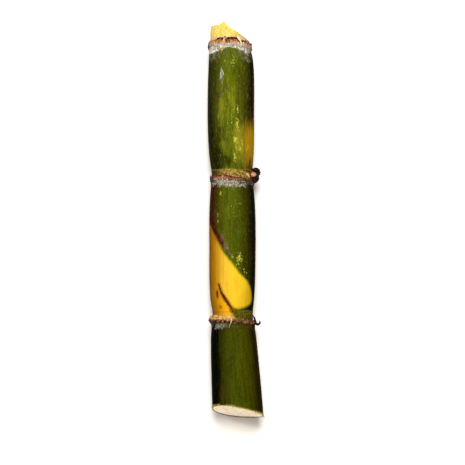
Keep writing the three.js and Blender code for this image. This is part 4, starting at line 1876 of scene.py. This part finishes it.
@dataclass
class Studio:
    """The pale floor, the soft light and the camera."""

    floor_size: float = 12.0
    sky: float = 0.5
    camera_distance: float = 1.25
    camera_elevation: float = 85.5
    field_width: float = 0.395
    aim: tuple[float, float, float] = (-0.0024, -0.0116, 0.020)
    lights: tuple[SoftLight, ...] = (
        SoftLight("key_overhead", place=(0.05, 0.8, 1.8), size=1.0, power=66.0, tint="fffdf8"),
        SoftLight("glint_from_left", place=(-1.11, 0.45, 1.0), size=0.1, power=5.0, tint="ffffff"),
        SoftLight("fill_on_cut", place=(0.1, -1.6, 0.6), size=1.0, power=10.0, tint="fffaf4"),
    )

    def build(self) -> None:
        """Builds the floor, world, lights and camera."""
        scene = bpy.context.scene
        half = self.floor_size / 2
        corners = [(-half, -half, 0), (half, -half, 0), (half, half, 0), (-half, half, 0)]
        mesh = bpy.data.meshes.new("studio_floor")
        mesh.from_pydata(corners, [], [(0, 1, 2, 3)])
        mesh.materials.append(MattSweep().make())
        floor = bpy.data.objects.new("studio_floor", mesh)
        scene.collection.objects.link(floor)
        world = bpy.data.worlds.new("studio_air")
        world.use_nodes = True
        world.node_tree.nodes["Background"].inputs[0].default_value = linear("fff0e0", 1.0)
        world.node_tree.nodes["Background"].inputs[1].default_value = self.sky
        scene.world = world
        scene.view_settings.view_transform = "Standard"
        for light in self.lights:
            light.add()
        data = bpy.data.cameras.new("photo_camera")
        data.lens = data.sensor_width * self.camera_distance / self.field_width
        camera = bpy.data.objects.new("photo_camera", data)
        rise = math.radians(self.camera_elevation)
        back = Vector((0.0, -math.cos(rise), math.sin(rise)))
        camera.location = Vector(self.aim) + back * self.camera_distance
        camera.rotation_euler = (-back).to_track_quat("-Z", "Y").to_euler()
        scene.collection.objects.link(camera)
        scene.camera = camera
        LOG.info("studio: %d lights", len(self.lights))


# Its lower edge is drawn near black and maroon: partly the sheath's own dark underside, partly painted shadow
# under the crust's overhang
BASE_SHEATH = DrySheath(
    "leaf_sheath_dry_crust",
    ((0.0, "120403"), (0.38, "34100a"), (0.52, "b8691f"), (0.72, "e6a43e"), (1.0, "f2c870")),
    ((0.0, "1e0d06"), (0.25, "4a2c16"), (0.5, "7b522e"), (0.75, "6a4526"), (1.0, "3a2112")),
    glow="ecb45a",
    pale="f6d488",
    burnt="98541a",
    bloom=0.05,
    shade_from=0.9,
)
MIDDLE_SHEATH = DrySheath(
    "leaf_sheath_dry_scar",
    ((0.0, "7d6c50"), (0.35, "8e6648"), (0.58, "a86e4e"), (0.76, "8a2812"), (1.0, "3d120a")),
    ((0.0, "54462e"), (0.35, "6d5235"), (0.6, "75502f"), (0.8, "5f3a20"), (1.0, "3a1c10")),
    glow="b98563",
    pale="c9a080",
    burnt="4a170b",
    bloom=0.4,
    shade_from=0.6,
)
# Its upper edge is drawn dark red to near black: partly the sheath's own colour, partly painted shadow in the
# slit under the stub
TIP_SHEATH = DrySheath(
    "leaf_sheath_dry_teeth",
    ((0.0, "b8ad95"), (0.35, "bf9a5c"), (0.6, "dc983c"), (0.8, "d0822e"), (1.0, "5a1c0e")),
    ((0.0, "a89c85"), (0.35, "b79a80"), (0.55, "cf8f7c"), (0.75, "982e22"), (1.0, "1e0806")),
    glow="ecc4a6",
    pale="fbe6d2",
    burnt="3e100a",
    bloom=0.5,
    shade_from=0.72,
)


def collars() -> list[SheathCollar]:
    """The three sheath collars.

    Returns:
        The collars, from base to tip.
    """
    prefix = "torn_sheath_collar_"
    crust = (
        FlakeCrop(28, (-104, -14), (0.65, 0.95), (0.6, 1.4), (2.6, 4.8), (0.2, 0.9), 1.0, 6.0),
        FlakeCrop(30, (-78, -8), (0.75, 1.0), (0.6, 1.8), (2.4, 4.4), (0.0, 0.2), 0.0, 6.0),
        FlakeCrop(16, (-14, 100), (0.3, 0.9), (1.2, 2.4), (0.9, 1.8), (0.0, 0.4), 0.6),
        FlakeCrop(34, (100, 260), (0.3, 0.9), (1.2, 2.6), (1.2, 2.4), (0.0, 0.4), 0.8),
    )
    lip = (
        FlakeCrop(80, (-180, 180), (0.3, 0.95), (1.0, 2.6), (1.4, 3.4), (0.0, 0.4), 0.7),
        FlakeCrop(12, (20, 80), (0.4, 0.9), (1.0, 2.4), (0.8, 1.6), (0.1, 0.5), 0.5),
    )
    teeth = (
        FlakeCrop(36, (-95, 95), (0.4, 0.95), (1.8, 4.0), (1.4, 3.0), (0.1, 0.8)),
        FlakeCrop(30, (-95, 95), (0.6, 1.0), (0.8, 2.0), (1.2, 2.6), (0.0, 0.4), 0.0),
        FlakeCrop(40, (95, 265), (0.4, 0.9), (1.2, 2.6), (1.2, 2.4), (0.0, 0.4), 0.7),
    )
    return [
        SheathCollar(
            prefix + "base_node", BASE_NODE, start=-2, end=3, slant=2, thickness=0.55, flare=1.3,
            lower_teeth=0.75, upper_teeth=0.4, finish=BASE_SHEATH, crops=crust, seed=31,
        ),
        SheathCollar(
            prefix + "middle_node", MIDDLE_NODE, start=-2.9, end=1.2, slant=0, thickness=0.45, flare=0.1,
            lower_teeth=0.7, upper_teeth=0.55, finish=MIDDLE_SHEATH, crops=lip, seed=41, worn_right=1.5,
        ),
        SheathCollar(
            prefix + "tip_node", TIP_NODE, start=-4.2, end=0.8, slant=0, thickness=0.45, flare=0.3,
            lower_teeth=1.0, upper_teeth=0.4, finish=TIP_SHEATH, crops=teeth, seed=51,
        ),
    ]


def buds() -> list[BudPad]:
    """The three buds.

    Returns:
        The buds, from base to tip.
    """
    dry = Scale("bud_scales_dry", "3a2412", "6b4a2c", "94714a", 0.8, 0.2, "24130a")
    fresh = Scale("bud_scales_fresh", "a8542c", "d69a70", "f6d2b0", 0.45, 0.4, "6a2212")
    return [
        BudPad(
            "bud_flat_base_node", angle=222, s=84.9, half_width=4.6, half_length=4.6, height=2.2, scales=7,
            finish=dry, slot="dry_bud", replaces=("bud_base_node",),
        ),
        BudPad(
            "bud_plump_middle_node", angle=15, s=202.1, half_width=2.45, half_length=2.5, height=3.4,
            scales=5, finish=fresh, slot="fresh_bud", replaces=("bud_middle_node",),
        ),
        BudPad(
            "bud_flat_tip_node", angle=216, s=318.7, half_width=4.2, half_length=3.4, height=1.8, scales=6,
            finish=dry, slot="dry_bud", replaces=("bud_tip_node",),
        ),
    ]


def fibres() -> list[LooseFibres]:
    """The loose fibres over the collars.

    Returns:
        The pieces, from base to tip.
    """
    straw = StrawFibre("sheath_fibre_straw", "f0dba6", "8a6236")
    tan = StrawFibre("sheath_fibre_tan", "ecbd84", "96602e")
    cream = StrawFibre("sheath_fibre_cream", "fff0c0", "d69c54")
    black = Scale("sheath_splinter_blackened", "0d0706", "1c100c", "3a241c", 0.7, 0.25, "2a1810")
    bark = Scale("sheath_strands_brown", "4e2812", "82502c", "b88456", 0.8, 0.2, "3a1f10")
    peel = Scale("sheath_strands_dark", "24100a", "4e2a1a", "8a5a3c", 0.8, 0.2, "1c0e08")
    over = "sheath_fibre_"
    base_foot = ((92, 82.6, 1), (92, 81.2, 2.4), (93, 79.4, 2.8))
    base_tip = ((95, 76.8, 1.7), (98, 74.4, 1.2), (101, 71.8, 0.7))
    base = (Strand(base_foot + base_tip, (0.5, 0.55, 0.5, 0.4, 0.25), 0.6, 61, 1.5),)
    left_long = ((104, 318.6, 0.8), (104.5, 316.1, 2.4), (106, 312, 1.8), (110, 308, 1.1), (116, 303.6, 0.6))
    left_short = ((105.5, 316.5, 2.2), (104, 313, 2.3), (108, 309, 1.5), (113, 305.5, 0.8))
    left = (
        Strand(left_long, (0.9, 0.95, 0.85, 0.7, 0.3), 0.5, 62, 1.5),
        Strand(left_short, (0.35, 0.5, 0.5, 0.2), 0.8, 63),
    )
    right_route = ((72, 320.4, 0.7), (68, 317.6, 2.4), (64.5, 315.2, 2.5), (62, 312.6, 2.0), (61, 309.2, 1.0))
    right = (Strand(right_route, (0.6, 0.95, 0.9, 0.8, 0.35), 0.6, 64, 0.9),)
    hook_foot = ((20, 82.8, 1.2), (20, 80.4, 2.6), (18.5, 77.9, 2.2), (15, 75.7, 1.8))
    hook_tip = ((11.5, 75.1, 3.2), (10, 76.4, 4.6), (9.5, 78.2, 5.3))
    hook = (
        Strand(hook_foot + hook_tip, (0.3, 0.7, 0.95, 1.1, 1.2, 0.95, 0.3), 0.85, 65, 1.2),
        Strand(((12, 76.2, 2.2), (10.5, 74.4, 2.9), (10, 73.4, 3.2)), (0.4, 0.3, 0.08), 0.8, 66),
    )
    twist_left = ((88, 79.4, 2.6), (76, 76.6, 1.9), (66, 79.4, 2.7))
    twist_right = ((56, 76.2, 1.8), (40, 78.4, 2.0), (22, 76.0, 1.5))
    under_left = ((84, 76.2, 1.6), (72, 79.0, 2.5), (61, 75.6, 1.7))
    under_right = ((50, 78.6, 2.1), (36, 75.4, 1.5), (22, 78.0, 1.7))
    twisted = (
        Strand(twist_left + twist_right, (0.35, 0.62, 0.62, 0.55, 0.5, 0.2), 0.7, 67, 6),
        Strand(under_left + under_right, (0.25, 0.5, 0.55, 0.5, 0.4, 0.15), 0.8, 68, 5),
    )
    curl_right = ((70, 199, 0.9), (60, 197.4, 1.5), (51, 195.4, 0.9))
    curl_left = ((43, 197.2, 1.8), (34, 195.2, 1.2), (25, 197.6, 1.6))
    curl_low = ((63, 195.4, 0.6), (55, 197.9, 1.7), (47, 194.6, 0.7), (38, 196.8, 1.6), (27, 194.0, 0.9))
    curled = (
        Strand(curl_right + curl_left, (0.2, 0.42, 0.5, 0.42, 0.4, 0.15), 0.8, 72, 4),
        Strand(curl_low, (0.2, 0.4, 0.42, 0.38, 0.15), 0.8, 73, 4),
    )
    sliver = (Strand(((48, 202.6, 0.3), (43, 201.0, 0.9), (37, 199.0, 1.5)), (0.2, 0.48, 0.2), 0.5, 74),)
    return [
        LooseFibres("fibre_over_base_collar", base, straw, "pale_fibre", (over + "base_node",)),
        LooseFibres("fibre_over_tip_left", left, tan, "pale_fibre", (over + "tip_left",)),
        LooseFibres("fibre_over_tip_right", right, cream, "pale_fibre", (over + "tip_right",)),
        LooseFibres("splinter_hooked", hook, black, "dark_scale", ("sheath_splinter_base_node",)),
        LooseFibres("strands_twisted_base", twisted, bark, "dry_sheath"),
        LooseFibres("strands_curled_middle", curled, peel, "dry_sheath"),
        LooseFibres("sliver_pale_middle", sliver, cream, "pale_fibre"),
    ]


def main() -> None:
    """Builds the cane, everything on it and the studio, in order."""
    logging.basicConfig(level=logging.INFO, format="%(message)s")
    Cane().build()
    for piece in (*collars(), *buds(), BudHood(), *fibres(), CutFray()):
        piece.build()
    Studio().build()


if __name__ == "__main__":
    main()
